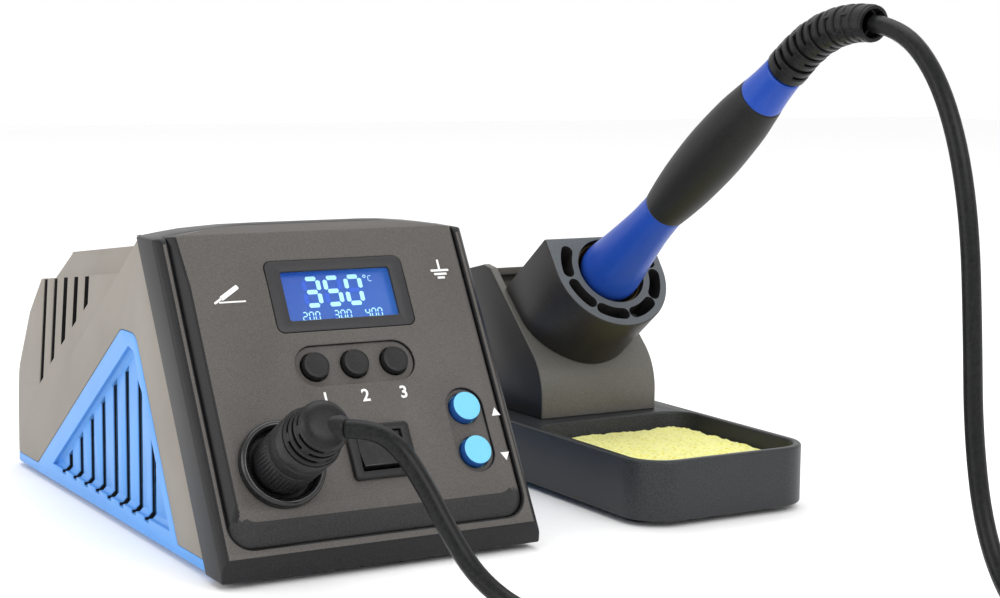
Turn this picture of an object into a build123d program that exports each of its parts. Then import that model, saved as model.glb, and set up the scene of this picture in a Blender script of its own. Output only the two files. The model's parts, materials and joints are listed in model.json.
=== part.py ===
"""Soldering station with a bench holder and an iron, as separate pieces, in millimetres.

The station's own frame has x = 0 at its middle, y = 0 where the front panel's plane meets the
underside of the shells, and z = 0 at that underside. Every piece is built there and moved at
the end, so that the origin is under the middle of station, holder and iron, on the bench.
"""
import os
from math import cos, pi, radians, sin, tan

from build123d import *

# ---- placing -------------------------------------------------------------------------------
ORIGIN_X, ORIGIN_Y = 55.25, 77.05       # middle of station, holder and iron in the station frame
FOOT_HEIGHT = 2.0                       # rubber feet under both units
SKIN = 2.5                              # wall of the moulded shells
FIT = 0.15                              # gap between pieces of one unit

# ---- station shells ------------------------------------------------------------------------
BODY_HALF = 51.0                        # cover and base
FRAME_HALF = 52.5                       # front frame
DEPTH = 207.0                           # front edge to rear wall
LEAN = radians(30.0)                    # panel leaned back from upright
FRAME_SET = -2.0                        # frame face behind the panel face
FRAME_BACK = -16.0                      # where the frame ends and the cover starts
FLOOR = 3.2                             # height of the blue base strip
TOP = 96.5                              # top of the arched front
CROWN_RADIUS = 340.0                    # arch across the top
ROOF_FALL = 0.125                       # fall of the roof towards the rear
CHEEK_START, CHEEK_FALL = (72.0, 93.5), 0.70        # upper edge of the side cheeks
SHOULDER_HALF, PLATEAU_HALF = 42.0, 38.5
SIDE_LEAN = 4.0 / 62.0                  # rear sides lean inwards above the base
REAR_CORNER = 10.0

# ---- vents ---------------------------------------------------------------------------------
WING = [(44.0, 3.2), (77.5, 62.0), (90.5, 62.0), (177.0, 3.2)]   # blue side wing, y and z
WING_ROUND = 6.0
WING_DEPTH, WING_WEB = 2.6, 1.4
WING_SLOTS = [(69.9, 28.0), (81.1, 45.0), (92.4, 49.0), (103.6, 43.0),
              (114.8, 35.5), (126.1, 28.0), (137.3, 20.0), (148.6, 12.0)]
WING_SLOT_WIDTH = 3.8
REAR_SLOTS = [(134.0, 63.0), (144.6, 56.0), (155.2, 48.5), (165.8, 40.5), (176.4, 32.0)]
REAR_SLOT_WIDTH = 4.0

# ---- front panel, in its own plane: u across, v up, n out ----------------------------------
PANEL_HALF, PANEL_LOW, PANEL_HIGH = 48.4, 11.9, 118.0
FACE_HALF, FACE_LOW = 45.6, 18.8
PANEL_THICK, PANEL_RISE = 5.0, 3.2
LCD_AT, LCD_SIZE, LCD_VIEW = (2.6, 87.4), (46.6, 23.7), (36.9, 16.1)
PRESET_AT, PRESET_PITCH, PRESET_RADIUS = (2.2, 64.5), 13.3, 4.2
ARROW_AT, ARROW_PITCH, ARROW_RADIUS = (35.3, 40.0), 14.3, 4.65
ROCKER_AT, ROCKER_BEZEL, ROCKER_HOLE = (3.3, 35.9), (21.3, 17.0), (19.2, 14.9)
ROCKER_TILT = 7.0                       # half of the rocker's throw, degrees
ROCKER_PIVOT = -3.0                     # height of the rocker's axis
SOCKET_AT, SOCKET_RING = (-29.4, 34.7), 13.2
BOARD_FACE = -10.4                      # front of the display board

# ---- plug, along the panel's normal --------------------------------------------------------
NUT_RADIUS, NUT_LENGTH = 9.3, 12.6
PLUG_LENGTH = 36.0
ELBOW_FROM, ELBOW_LENGTH, ELBOW_RADIUS = 31.0, 7.5, 4.0     # stub that turns the cord aside

# ---- holder --------------------------------------------------------------------------------
STAND_X, STAND_HALF = 128.0, 35.0
STAND_FRONT, STAND_BACK, STAND_TOP = 8.0, 158.0, 20.0
TRAY_WALL, TRAY_FLOOR, TRAY_BACK = 3.0, 3.0, 82.0
SPONGE_TOP = 15.0
TOWER_HALF, TOWER_FRONT, TOWER_BACK = 24.5, 88.0, 152.0
TOWER_WALL = 3.0
BLOCK_RADIUS, BLOCK_UP, BLOCK_DEPTH = 22.5, 14.4, 34.0
BORE_RADIUS = 13.0

# ---- iron, along its own axis from the mouth of the holder ---------------------------------
IRON_RISE = radians(37.3)
IRON_MOUTH = (128.0, 82.2, 72.7)
GRIP_START, GRIP_END, COLLAR_END = 40.7, 104.8, 118.5
BOOT_STRAIGHT, BOOT_BEND_RADIUS, BOOT_TURN = 8.0, 47.7, 43.4
TIP_END = -75.0

# ---- cord ----------------------------------------------------------------------------------
CORD = 5.5                              # diameter
BENCH = -FOOT_HEIGHT
LYING = BENCH + CORD / 2
JOIN = 0.05                             # gap between the cord and the boot it comes out of
COIL_X, COIL_Y = 62.0, -178.0
COIL_INNER, COIL_OUTER = 24.2, 41.8
COIL_LOW, COIL_HIGH = BENCH + 1.2, BENCH + 12.8
PLUG_ROUTE = [(-13.5, -27.0, 41.5), (-8.8, -32.3, 31.5), (-5.2, -39.0, 20.0),
              (-0.8, -48.0, 8.0), (6.0, -62.0, LYING), (15.0, -84.0, LYING),
              (21.5, -112.0, LYING), (23.8, -140.0, LYING), (23.4, -161.0, LYING + 0.3)]
IRON_ROUTE = [(127.6, -78.0, 147.0), (127.2, -89.0, 128.5), (127.0, -95.8, 104.0),
              (126.8, -98.8, 74.0), (126.5, -101.0, 46.0), (126.3, -106.5, 21.0),
              (123.8, -119.0, 4.5), (117.0, -138.0, LYING), (106.0, -155.0, 3.0),
              (101.6, -170.0, 5.0)]

# ---- directions ----------------------------------------------------------------------------
NORMAL = Vector(0, -cos(LEAN), sin(LEAN))
AXIS = Vector(0, -cos(IRON_RISE), sin(IRON_RISE))


def panel_plane(n=0.0):
    """The front panel's plane, moved out by n."""
    return Plane(origin=NORMAL * n, x_dir=(1, 0, 0), z_dir=NORMAL)


def iron_plane(s=0.0):
    """The plane across the iron, s along its axis: x across, y away from the tray."""
    return Plane(origin=Vector(*IRON_MOUTH) + AXIS * s, x_dir=(1, 0, 0), z_dir=AXIS)


def disc(at, radius, low, high, plane=panel_plane):
    """A round bar between two heights over a plane."""
    return extrude(plane(low) * Pos(*at) * Circle(radius), high - low)


def slab(at, size, low, high, corner=0.0, plane=panel_plane):
    """A rectangular block between two heights over a plane."""
    shape = RectangleRounded(*size, corner) if corner else Rectangle(*size)
    return extrude(plane(low) * Pos(*at) * shape, high - low)


def block(x, y, z):
    """A box from (low, high) pairs."""
    middle = [(low + high) / 2 for low, high in (x, y, z)]
    return Pos(*middle) * Box(x[1] - x[0], y[1] - y[0], z[1] - z[0])


def prism(points, low, high):
    """A side outline of (y, z) points, from x = low to x = high."""
    plane = Plane(origin=(low, 0, 0), x_dir=(0, 1, 0), z_dir=(1, 0, 0))
    return extrude(plane * make_face(Polyline(*points, close=True)), high - low)


def turned(points, plane):
    """A body of revolution from (radius, height) points about a plane's normal."""
    outline = make_face(Polyline(*points, close=True))
    return plane * revolve(Plane.XZ * outline, Axis.Z)


def both_sides(piece):
    """The piece and its mirror image across the station's middle."""
    return piece + mirror(piece, Plane.YZ)


# ---- station envelope ----------------------------------------------------------------------
def side_outline(inset):
    """The station's side outline, drawn in by the wall."""
    face_y = -FRAME_SET / cos(LEAN)
    lip, high = 6.7, 91.8
    points = [(6.6, 0), (face_y + lip * tan(LEAN), lip), (face_y + high * tan(LEAN), high),
              (59.5, 95.6), (64.0, TOP), (69.0, TOP - 0.6), (92.0, 88.2), (173.0, 78.0),
              (178.5, 71.5), (193.0, 55.0), (202.0, 35.0), (DEPTH, 8.0), (DEPTH, 0)]
    face = make_face(Polyline(*points, close=True))
    return offset(face, -inset, kind=Kind.INTERSECTION) if inset else face


def roof_z(y):
    """Height of the shoulder beside the raised roof."""
    return 79.5 - ROOF_FALL * (y - 90.0)


def cheek_z(y):
    """Height of the cheek's upper edge."""
    return CHEEK_START[1] - CHEEK_FALL * (y - CHEEK_START[0])


def above_cheeks(half):
    """The space over the cheeks' upper edges."""
    y0, y1 = CHEEK_START[0], DEPTH + 10
    return prism([(y0, cheek_z(y0)), (y1, cheek_z(y1)), (y1, 120), (y0, 120)], -half, half)


def shoulder_cut(inset):
    """What is taken off beside the roof, so that it stands up from the shoulders."""
    low, high = -inset, 14.0 - inset
    flat, raised = SHOULDER_HALF - inset, PLATEAU_HALF - inset
    outline = [(60, low), (60, 60), (-60, 60), (-60, low), (-flat, low),
               (-raised, high - 6), (-raised, high), (raised, high), (raised, high - 6),
               (flat, low)]
    fall = Vector(0, 1, -ROOF_FALL)
    plane = Plane(origin=(0, 60, roof_z(60)), x_dir=(1, 0, 0), z_dir=fall)
    up = plane.y_dir.Z
    outline = [(x, z * (1 if up > 0 else -1)) for x, z in outline]
    return extrude(plane * make_face(Polyline(*outline, close=True)), 170)


def side_cut(inset):
    """What is taken off the rear sides, so that they lean in above the base."""
    low, high = 8.0, 100.0
    x0 = BODY_HALF - inset
    x1 = x0 - SIDE_LEAN * (high - low)
    face = make_face(Polyline((x0, low), (x1, high), (70, high), (70, low), close=True))
    plane = Plane(origin=(0, DEPTH + 10, 0), x_dir=(1, 0, 0), z_dir=(0, -1, 0))
    return both_sides(extrude(plane * face, DEPTH))


def envelope(half, inset=0.0, cheeks=True):
    """The station's outside, or its inside when drawn in by the wall."""
    half -= inset
    plane = Plane(origin=(-half, 0, 0), x_dir=(0, 1, 0), z_dir=(1, 0, 0))
    body = extrude(plane * side_outline(inset), 2 * half)
    crown = Pos(0, DEPTH / 2, TOP + 0.5 - inset - CROWN_RADIUS) * Rot(90, 0, 0) * Cylinder(
        CROWN_RADIUS, DEPTH + 20)
    body &= crown
    plan = RectangleRounded(2 * half, 2 * (DEPTH - inset), REAR_CORNER)
    body &= extrude(plan, 120)
    if cheeks:
        body -= (shoulder_cut(inset) + side_cut(inset)) & above_cheeks(80)
    return body


def ahead_of(n):
    """Everything in front of a plane parallel to the panel."""
    return slab((0, 60), (200, 300), n, n + 80)


def wing_face(inset):
    """Outline of the blue side wing."""
    face = make_face(Polyline(*WING, close=True))
    face = fillet(face.vertices().sort_by(Axis.Y)[-2:], WING_ROUND)
    return offset(face, -inset) if inset else face


def wing_solid(inset, low, high):
    """The wing's outline as a plate on the left side."""
    plane = Plane(origin=(low, 0, 0), x_dir=(0, 1, 0), z_dir=(1, 0, 0))
    return extrude(plane * wing_face(inset), high - low)


def case_posts():
    """Where the base and the cover are screwed together."""
    return [(x, y) for x in (-41.0, 41.0) for y in (42.0, 180.0)]


def rear_window(edge=0.0):
    """Opening in the rear wall that leads in to the rear panel."""
    return block((-37 - edge, 37 + edge), (REAR_Y + FIT, 215), (5.2 - edge, 48 + edge))


def rear_slots():
    """Tall vents of the rear sides, with slanted lower ends."""
    cut = None
    for y, low in REAR_SLOTS:
        half = REAR_SLOT_WIDTH / 2
        slot = prism([(y - half, low + half), (y + half, low - half * 0.4), (y + half, 84),
                      (y - half, 84)], -60, -43)
        cut = slot if cut is None else cut + slot
    return both_sides(cut)


def top_cover():
    cover = envelope(BODY_HALF) - envelope(BODY_HALF, SKIN)
    cover -= ahead_of(FRAME_BACK - FIT)
    cover -= block((-70, 70), (-20, 230), (-10, FLOOR + FIT))
    cover -= both_sides(wing_solid(-FIT, -60, -BODY_HALF + SKIN + 0.4))
    cover += rear_window(1.8) & envelope(BODY_HALF, SKIN - 0.3)
    cover -= rear_slots()
    cover -= rear_window()
    for x, y in case_posts():
        top = 64.0 if y > 100 else 66.0
        post = Pos(x, y, 0) * extrude(Plane.XY.offset(10.0) * Circle(4.0), top - 10)
        cover += (post & envelope(BODY_HALF, SKIN - 0.3)) - ahead_of(FRAME_BACK - FIT)
        cover -= Pos(x, y, 0) * extrude(Plane.XY.offset(5.0) * Circle(1.45), 22)
    return largest(cover)


def largest(shape):
    """The biggest solid of a shape."""
    return sorted(shape.solids(), key=lambda solid: solid.volume)[-1]


def wing(piece):
    """One side's wing with its recessed, slotted web."""
    inner = -BODY_HALF + WING_DEPTH + WING_WEB
    plate = wing_solid(0, -BODY_HALF, inner)
    recess = prism([(50.5, 6.0), (79.5, 56.5), (84.0, 57.5), (160.0, 6.0)], -60,
                   -BODY_HALF + WING_DEPTH)
    recess = chamfer(recess.faces().sort_by(Axis.X)[-1].edges(), 1.2)
    plate -= recess
    for y, top in WING_SLOTS:
        half = WING_SLOT_WIDTH / 2
        rise = half * (CHEEK_FALL if y > 90 else -1.0)
        plate -= prism([(y - half, 4.6), (y - half, top + rise), (y + half, top - rise),
                        (y + half, 4.6)], -60, -40)
    return piece + plate


def base_tray():
    floor = envelope(BODY_HALF, cheeks=False) & block((-70, 70), (-5, 230), (-1, FLOOR))
    floor -= ahead_of(FRAME_BACK - FIT)
    sides = wing(block((-BODY_HALF, -46.5), (46.0, 175.0), (0, FLOOR + 0.2)) & floor)
    base = floor + both_sides(sides)
    for x, y in case_posts():
        base += Pos(x, y, 0) * extrude(Plane.XY.offset(FLOOR) * Circle(4.0), 10 - FIT - FLOOR)
        base -= Pos(x, y, 0) * extrude(Plane.XY * Circle(1.8), 12)
        base -= Pos(x, y, 0) * extrude(Plane.XY * Circle(3.4), 4)
    for x, y in board_posts():
        base += Pos(x, y, FLOOR) * extrude(Circle(3.0), 4.8)
        base -= Pos(x, y, FLOOR) * extrude(Circle(1.25), 6)
    for x in range(-24, 25, 8):
        base -= block((x - 1.5, x + 1.5), (118, 150), (-1, FLOOR + 1))
    return largest(base)


# ---- front ---------------------------------------------------------------------------------
def front_frame():
    frame = envelope(FRAME_HALF, cheeks=False)
    frame -= ahead_of(FRAME_SET)
    frame &= ahead_of(FRAME_BACK)
    corners = frame.edges().filter_by(Axis((0, 0, 0), panel_plane().y_dir)).filter_by(
        lambda edge: edge.length > 60 and edge.center().dot(NORMAL) > FRAME_SET - 1)
    frame = chamfer(corners, 2.0)
    frame -= slab((0, 60.0), (91.0, 88.0), -30, 10, 3.0)
    seat = slab((0, PANEL_LOW + 60 - FIT), (2 * (PANEL_HALF + FIT), 120), -PANEL_THICK - FIT,
                10, 7.0)
    return largest(frame - seat)


def face_sketch(half, low, corner, n):
    """Outline of the panel at one height."""
    height = PANEL_HIGH - low
    shape = Pos(0, low + height / 2) * RectangleRounded(2 * half, height, corner)
    return panel_plane(n) * shape


def arrow_spots():
    """Places of the up and down buttons."""
    u, v = ARROW_AT
    return [(u, v + ARROW_PITCH / 2), (u, v - ARROW_PITCH / 2)]


def preset_spots():
    """Places of the three preset buttons."""
    u, v = PRESET_AT
    return [(u + step * PRESET_PITCH, v) for step in (-1, 0, 1)]


def panel_bosses():
    """Where the display board is screwed to the panel."""
    return [(u, v) for u in (-41.0, 41.0) for v in (57.0, 98.0)]


def front_panel():
    plate = extrude(face_sketch(PANEL_HALF, PANEL_LOW, 7.0, -PANEL_THICK),
                    PANEL_THICK - PANEL_RISE)
    face = loft([face_sketch(PANEL_HALF, PANEL_LOW, 7.0, -PANEL_RISE),
                 face_sketch(FACE_HALF, FACE_LOW, 6.0, 0)], ruled=True)
    panel = plate + face
    panel &= envelope_of_panel()
    panel -= slab((0, 60), (86.0, 84.0), -PANEL_THICK - 1, -2.5, 4.0)
    for spot in panel_bosses():
        panel += disc(spot, 3.2, BOARD_FACE, -2.4)
        panel -= disc(spot, 1.02, BOARD_FACE - 1, -4.0)
    panel -= slab(LCD_AT, LCD_SIZE, -1.2, 10, 2.5)
    panel -= slab(LCD_AT, (41.4, 18.4), -10, 10, 1.0)
    panel -= slab(PRESET_AT, (2 * PRESET_PITCH + 13.2, 13.0), -1.3, 10, 6.4)
    panel -= slab(ARROW_AT, (12.6, ARROW_PITCH + 12.8), -1.3, 10, 6.2)
    for spot in preset_spots():
        panel -= disc(spot, PRESET_RADIUS + 0.35, -10, 10)
    for spot in arrow_spots():
        panel -= disc(spot, ARROW_RADIUS + 0.35, -10, 10)
    panel -= slab(ROCKER_AT, (ROCKER_HOLE[0] + 0.2, ROCKER_HOLE[1] + 0.2), -10, 10, 0.6)
    panel -= disc(SOCKET_AT, 11.7, -10, 10)
    return largest(panel)


def envelope_of_panel():
    """Trims the panel's top to the station's arched outline."""
    high = 3.0
    outline = [(-20, -20), (58.6 - high, 94.2), (60.5, 96.0), (90, 96.0), (90, -20)]
    top = prism(outline, -80, 80)
    crown = Pos(0, 50, TOP + 0.5 - CROWN_RADIUS) * Rot(90, 0, 0) * Cylinder(CROWN_RADIUS, 300)
    return top & crown


def lcd_bezel():
    size = (LCD_SIZE[0] - 2 * FIT, LCD_SIZE[1] - 2 * FIT)
    bezel = slab(LCD_AT, size, -1.1, -0.1, 2.3)
    view = panel_plane(-2) * Pos(*LCD_AT) * Rectangle(*LCD_VIEW)
    return bezel - extrude(view, 4)


def lcd_window():
    return slab(LCD_AT, (41.0, 18.0), -2.3, -1.2, 0.8)


def lcd_module():
    glass = slab(LCD_AT, (43.0, 21.0), -6.5, -2.6)
    return glass + slab(LCD_AT, (47.0, 24.0), BOARD_FACE + 0.1, -6.5)


def button(spot, radius, top):
    """A round cap with a flange behind the panel and a stub over its switch."""
    cap = disc(spot, radius, -4.0, top)
    cap = chamfer(cap.edges().filter_by(GeomType.CIRCLE).sort_by(
        lambda edge: edge.center().dot(NORMAL))[-1], 0.4)
    flange = disc(spot, radius + 1.1, -4.0, -3.0)
    return cap + flange + disc(spot, 1.6, -5.8, -4.0)


def tact_switches():
    spots = preset_spots() + arrow_spots()
    return Compound([slab(spot, (6.0, 6.0), BOARD_FACE + 0.02, -6.8) for spot in spots])


def rocker_axis(half):
    """Across the panel on the rocker's axis, from half its length to the left."""
    at = panel_plane(ROCKER_PIVOT).from_local_coords((ROCKER_AT[0] - half, ROCKER_AT[1], 0))
    return Plane(origin=at, x_dir=panel_plane().y_dir, z_dir=(1, 0, 0))


def rocker_housing():
    u, v = ROCKER_AT
    housing = slab(ROCKER_AT, ROCKER_BEZEL, 0.02, 1.5, 1.6)
    housing = chamfer(housing.faces().sort_by(lambda f: f.center().dot(NORMAL))[-1].edges(), 0.5)
    housing += slab(ROCKER_AT, ROCKER_HOLE, -16.0, 0.1, 0.5)
    housing -= slab(ROCKER_AT, (15.2, 12.2), -9.0, 5)
    housing -= extrude(rocker_axis(8.9) * Circle(1.2), 17.8)
    for step in (-5.0, 0.0, 5.0):
        housing += slab((u + step, v), (0.8, 4.8), -23.0, -15.9)
    return housing


def rocker():
    """The rocker rests with its upper half pressed in and turns on two trunnions."""
    half = 5.7
    outline = [(-half, -4.5), (half, -4.5), (half, 2.1), (0, 0.9), (-half, 2.1)]
    face = make_face(Polyline(*[(a, b - ROCKER_PIVOT - 0.4) for a, b in outline], close=True))
    body = extrude(rocker_axis(7.2) * Rot(0, 0, -ROCKER_TILT) * face, 14.4)
    room = slab(ROCKER_AT, (14.6, 11.7), -8.6, 8)
    axis = Axis(rocker_axis(0).origin, (1, 0, 0))
    return (body & room & room.rotate(axis, -2 * ROCKER_TILT)) + extrude(
        rocker_axis(8.7) * Circle(1.1), 17.4)


def socket_ring():
    ring = disc(SOCKET_AT, SOCKET_RING, 0.02, 3.4)
    ring = fillet(ring.edges().filter_by(GeomType.CIRCLE).sort_by(
        lambda edge: edge.center().dot(NORMAL))[-1], 1.4)
    ring += disc(SOCKET_AT, 11.55, -9.0, 0.1)
    return ring - disc(SOCKET_AT, 10.2, -20, 20)


def socket_shell():
    shell = disc(SOCKET_AT, 10.1, -20.0, -1.5)
    shell -= disc(SOCKET_AT, 7.5, -10.0, 5)
    for spot in pin_spots():
        shell -= disc(spot, 0.72, -30, 0)
    return shell


def pin_spots(radius=4.2, count=5):
    """Five contacts on most of a circle."""
    u, v = SOCKET_AT
    angles = [radians(-30 + 240 * step / (count - 1)) for step in range(count)]
    return [(u + radius * cos(angle), v + radius * sin(angle)) for angle in angles]


def socket_contacts():
    return Compound([disc(spot, 0.7, -24.0, -3.0) for spot in pin_spots()])


def display_board():
    board = slab((0, 62.5), (88.6, 79.0), BOARD_FACE - 1.6, BOARD_FACE, 3.0)
    board -= disc(SOCKET_AT, 12.0, -30, 0)
    board -= slab(ROCKER_AT, (20.4, 16.2), -30, 0)
    for spot in panel_bosses():
        board -= disc(spot, 1.4, -30, 0)
    return board


def screw(plane, head, shank, length, head_height=1.6):
    """A pan-head screw whose head stands on the plane and whose shank goes down."""
    body = extrude(plane * Circle(head), head_height)
    body -= extrude(plane.offset(head_height - 0.7) * Rectangle(0.7, 2 * head), 2)
    return body + extrude(plane * Circle(shank), -length)


def panel_screws():
    screws = []
    for spot in panel_bosses():
        place = panel_plane(BOARD_FACE - 1.62)
        start = place.from_local_coords((*spot, 0))
        screws.append(screw(Plane(origin=start, z_dir=-NORMAL), 2.3, 1.0, 6.0))
    return Compound(screws)


# ---- inside --------------------------------------------------------------------------------
def board_posts():
    """Where the main board stands on the base."""
    return [(x, y) for x in (-33.0, 33.0) for y in (112.0, 172.0)]


def main_board():
    board = block((-38, 38), (107, 177), (8.0, 9.6))
    for x, y in board_posts():
        board -= Pos(x, y, 0) * Cylinder(1.6, 40)
    return board


def board_screws():
    return Compound([screw(Plane(origin=(x, y, 9.62), z_dir=(0, 0, 1)), 2.6, 1.2, 5.5)
                     for x, y in board_posts()])


def transformer_core():
    core = block((-30, 30), (58, 98), (6.0, 56.0))
    core -= block((-20, -11), (50, 110), (14, 48))
    core -= block((11, 20), (50, 110), (14, 48))
    feet = block((-38, 38), (66, 90), (FLOOR + 0.02, 6.0))
    return core + feet


def transformer_winding():
    outer = block((-19.8, 19.8), (50.0, 106.0), (14.2, 47.8))
    outer = fillet(outer.edges().filter_by(Axis.Z), 7.0)
    outer -= block((-11.1, 11.1), (57.9, 98.1), (0, 80))
    keep = block((-19.8, -11.2), (50, 106), (14.2, 47.8))
    keep += block((11.2, 19.8), (50, 106), (14.2, 47.8))
    keep += block((-19.8, 19.8), (50, 57.8), (14.2, 47.8))
    keep += block((-19.8, 19.8), (98.2, 106), (14.2, 47.8))
    return outer & keep


def heat_sink():
    sink = block((24, 27), (120, 160), (9.62, 40))
    for step in range(7):
        y = 121.0 + step * 6.0
        sink += block((26.9, 35.0), (y, y + 1.6), (9.62, 40))
    return sink


def board_parts():
    parts = [block((19.2, 23.9), (y, y + 10), (12, 27)) for y in (125, 143)]
    parts += [Pos(x, y, 9.62) * extrude(Circle(6.5), 22) for x, y in ((-24, 124), (-24, 140))]
    parts += [block((-10, 8), (122, 130), (9.62, 13)), block((-8, 6), (140, 148), (9.62, 13)),
              block((-30, -12), (152, 160), (9.62, 22))]
    return Compound(parts)


# ---- rear ----------------------------------------------------------------------------------
REAR_Y = 188.0
INLET_X, INLET_Z = -10.5, 26.0
FUSE_X, FUSE_Z = 26.0, 34.0
JACK_X, JACK_Z = 26.0, 15.0


def rear_panel():
    panel = block((-40.0, 40.0), (REAR_Y - 2.5, REAR_Y), (FLOOR + 0.02, 51.0))
    panel -= block((INLET_X - 13.8, INLET_X + 13.8), (150, 250), (INLET_Z - 10.2, INLET_Z + 10.2))
    for x, z, radius in ((FUSE_X, FUSE_Z, 6.1), (JACK_X, JACK_Z, 4.1),
                         (INLET_X - 20, INLET_Z, 1.7), (INLET_X + 20, INLET_Z, 1.7)):
        panel -= Pos(x, REAR_Y, z) * Rot(90, 0, 0) * Cylinder(radius, 30)
    return panel


def mains_inlet():
    flange = block((INLET_X - 25, INLET_X + 25), (REAR_Y + 0.02, REAR_Y + 3), (INLET_Z - 11.5,
                                                                               INLET_Z + 11.5))
    flange = fillet(flange.edges().filter_by(Axis.Y), 5.0)
    body = block((INLET_X - 13.5, INLET_X + 13.5), (REAR_Y - 20, REAR_Y + 0.1),
                 (INLET_Z - 10, INLET_Z + 10))
    inlet = flange + body
    inlet -= block((INLET_X - 12, INLET_X + 12), (REAR_Y - 14, REAR_Y + 9),
                   (INLET_Z - 8.2, INLET_Z + 8.2))
    for x in (INLET_X - 20, INLET_X + 20):
        inlet -= Pos(x, REAR_Y, INLET_Z) * Rot(90, 0, 0) * Cylinder(1.7, 30)
    return inlet


def inlet_pins():
    spots = [(INLET_X - 7, INLET_Z - 1.5), (INLET_X + 7, INLET_Z - 1.5), (INLET_X, INLET_Z - 5.5)]
    pins = []
    for x, z in spots:
        pins.append(block((x - 1, x + 1), (REAR_Y - 13.98, REAR_Y - 1), (z - 2, z + 2)))
        pins.append(block((x - 1, x + 1), (REAR_Y - 27, REAR_Y - 20.02), (z - 2, z + 2)))
    return Compound(pins)


def inlet_screws():
    return Compound([screw(Plane(origin=(x, REAR_Y + 3.02, INLET_Z), z_dir=(0, 1, 0)), 3.0, 1.5,
                           8.0) for x in (INLET_X - 20, INLET_X + 20)])


def fuse_holder():
    place = Pos(FUSE_X, REAR_Y, FUSE_Z) * Rot(-90, 0, 0)
    holder = place * Pos(0, 0, 1.0) * Cylinder(7.5, 1.96)
    holder += place * Pos(0, 0, -12.0) * Cylinder(6.0, 24.1)
    return holder - place * Pos(0, 0, -8.0) * Cylinder(4.6, 24)


def fuse_cap():
    place = Pos(FUSE_X, REAR_Y + 2.3, FUSE_Z) * Rot(-90, 0, 0)
    cap = place * extrude(Circle(6.0), 4.0)
    cap -= place * Pos(0, 0, 4.0) * Box(1.4, 8, 2.4)
    return cap + place * extrude(Circle(4.2), -12)


def ground_jack():
    place = Pos(JACK_X, REAR_Y, JACK_Z) * Rot(-90, 0, 0)
    jack = place * extrude(RegularPolygon(6.5, 6), 3.0)
    jack += place * extrude(Circle(4.0), -14)
    return jack - place * extrude(Plane.XY.offset(-12) * Circle(2.0), 30)


def case_screws():
    """Screws in from underneath, with their heads sunk in the base."""
    screws = []
    for x, y in case_posts():
        screws.append(screw(Plane(origin=(x, y, 3.98), z_dir=(0, 0, -1)), 3.2, 1.4, 16.0, 2.0))
    return Compound(screws)


def foot(x, y, radius):
    """A rubber foot under a shell."""
    pad = Pos(x, y, -FOOT_HEIGHT) * extrude(Circle(radius), FOOT_HEIGHT - 0.02)
    return fillet(pad.edges().filter_by(GeomType.CIRCLE).sort_by(Axis.Z)[0], 0.6)


def station_feet():
    return Compound([foot(x, y, 6.0) for x in (-38.0, 38.0) for y in (58.0, 172.0)])


# ---- holder --------------------------------------------------------------------------------
def stand_block(inset, low, high, corner):
    """A block with the holder base's plan, drawn in by the wall."""
    width = 2 * (STAND_HALF - inset)
    length = STAND_BACK - STAND_FRONT - 2 * inset
    middle = (STAND_FRONT + STAND_BACK) / 2
    return Pos(STAND_X, middle, low) * extrude(RectangleRounded(width, length, corner), high - low)


def tray_hollow(inset, low, high):
    """The space for the sponge."""
    width = 2 * (STAND_HALF - TRAY_WALL - inset)
    length = TRAY_BACK - STAND_FRONT - TRAY_WALL - 2 * inset
    middle = (TRAY_BACK + STAND_FRONT + TRAY_WALL) / 2
    plan = RectangleRounded(width, length, 10.5 - inset / 2)
    return Pos(STAND_X, middle, low) * extrude(plan, high - low)


def tower_screws_at():
    """Where the tower is screwed down."""
    return [(STAND_X + x, y) for x in (-18.0, 18.0) for y in (106.0, 144.0)]


def stand_base():
    base = stand_block(0, 0, STAND_TOP, 14.0)
    base = fillet(base.faces().sort_by(Axis.Z)[-1].edges(), 1.0)
    base -= tray_hollow(0, TRAY_FLOOR, 60)
    under = stand_block(TRAY_WALL, -5, STAND_TOP - 3.0, 11.0)
    base -= under & block((0, 300), (TRAY_BACK + 3.0, 300), (-10, 60))
    for x, y in stand_feet_at():
        base += Pos(x, y, 0) * extrude(Circle(6.0), TRAY_FLOOR if y < TRAY_BACK else STAND_TOP - 2)
    for x, y in tower_screws_at():
        base += Pos(x, y, 6.0) * extrude(Circle(4.0), STAND_TOP - 6.0)
        base -= Pos(x, y, 0) * extrude(Circle(1.7), 40)
        base -= Pos(x, y, 0) * extrude(Circle(3.3), 8.0)
    return largest(base)


def tower_outline(inset):
    """The tower's side outline: an upright foot that curls back into a slope."""
    rise = radians(42.5)
    start = (TOWER_FRONT, STAND_TOP + 0.02 - (10 if inset else 0))
    knee = (TOWER_FRONT, 27.0)
    curl = 22.0
    bend = (TOWER_FRONT + curl * (1 - sin(rise)), 27.0 + curl * cos(rise))
    top_y = 125.0
    crest = (top_y, bend[1] + (top_y - bend[0]) * tan(rise))
    rear_top = (TOWER_BACK - 3, crest[1] - 3.5)
    edges = Polyline(knee, start, (TOWER_BACK, start[1]), (TOWER_BACK, rear_top[1] - 4),
                     rear_top, (top_y + 5, crest[1] + 0.8), crest, bend)
    arc = ThreePointArc(knee, (TOWER_FRONT + curl * (1 - cos(radians(23.75))),
                               27.0 + curl * sin(radians(23.75))), bend)
    face = make_face(Curve() + edges + arc)
    return offset(face, -inset) if inset else face


def tower_solid(inset, half):
    """The tower's outline as a solid."""
    plane = Plane(origin=(STAND_X - half, 0, 0), x_dir=(0, 1, 0), z_dir=(1, 0, 0))
    return extrude(plane * tower_outline(inset), 2 * half)


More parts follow.
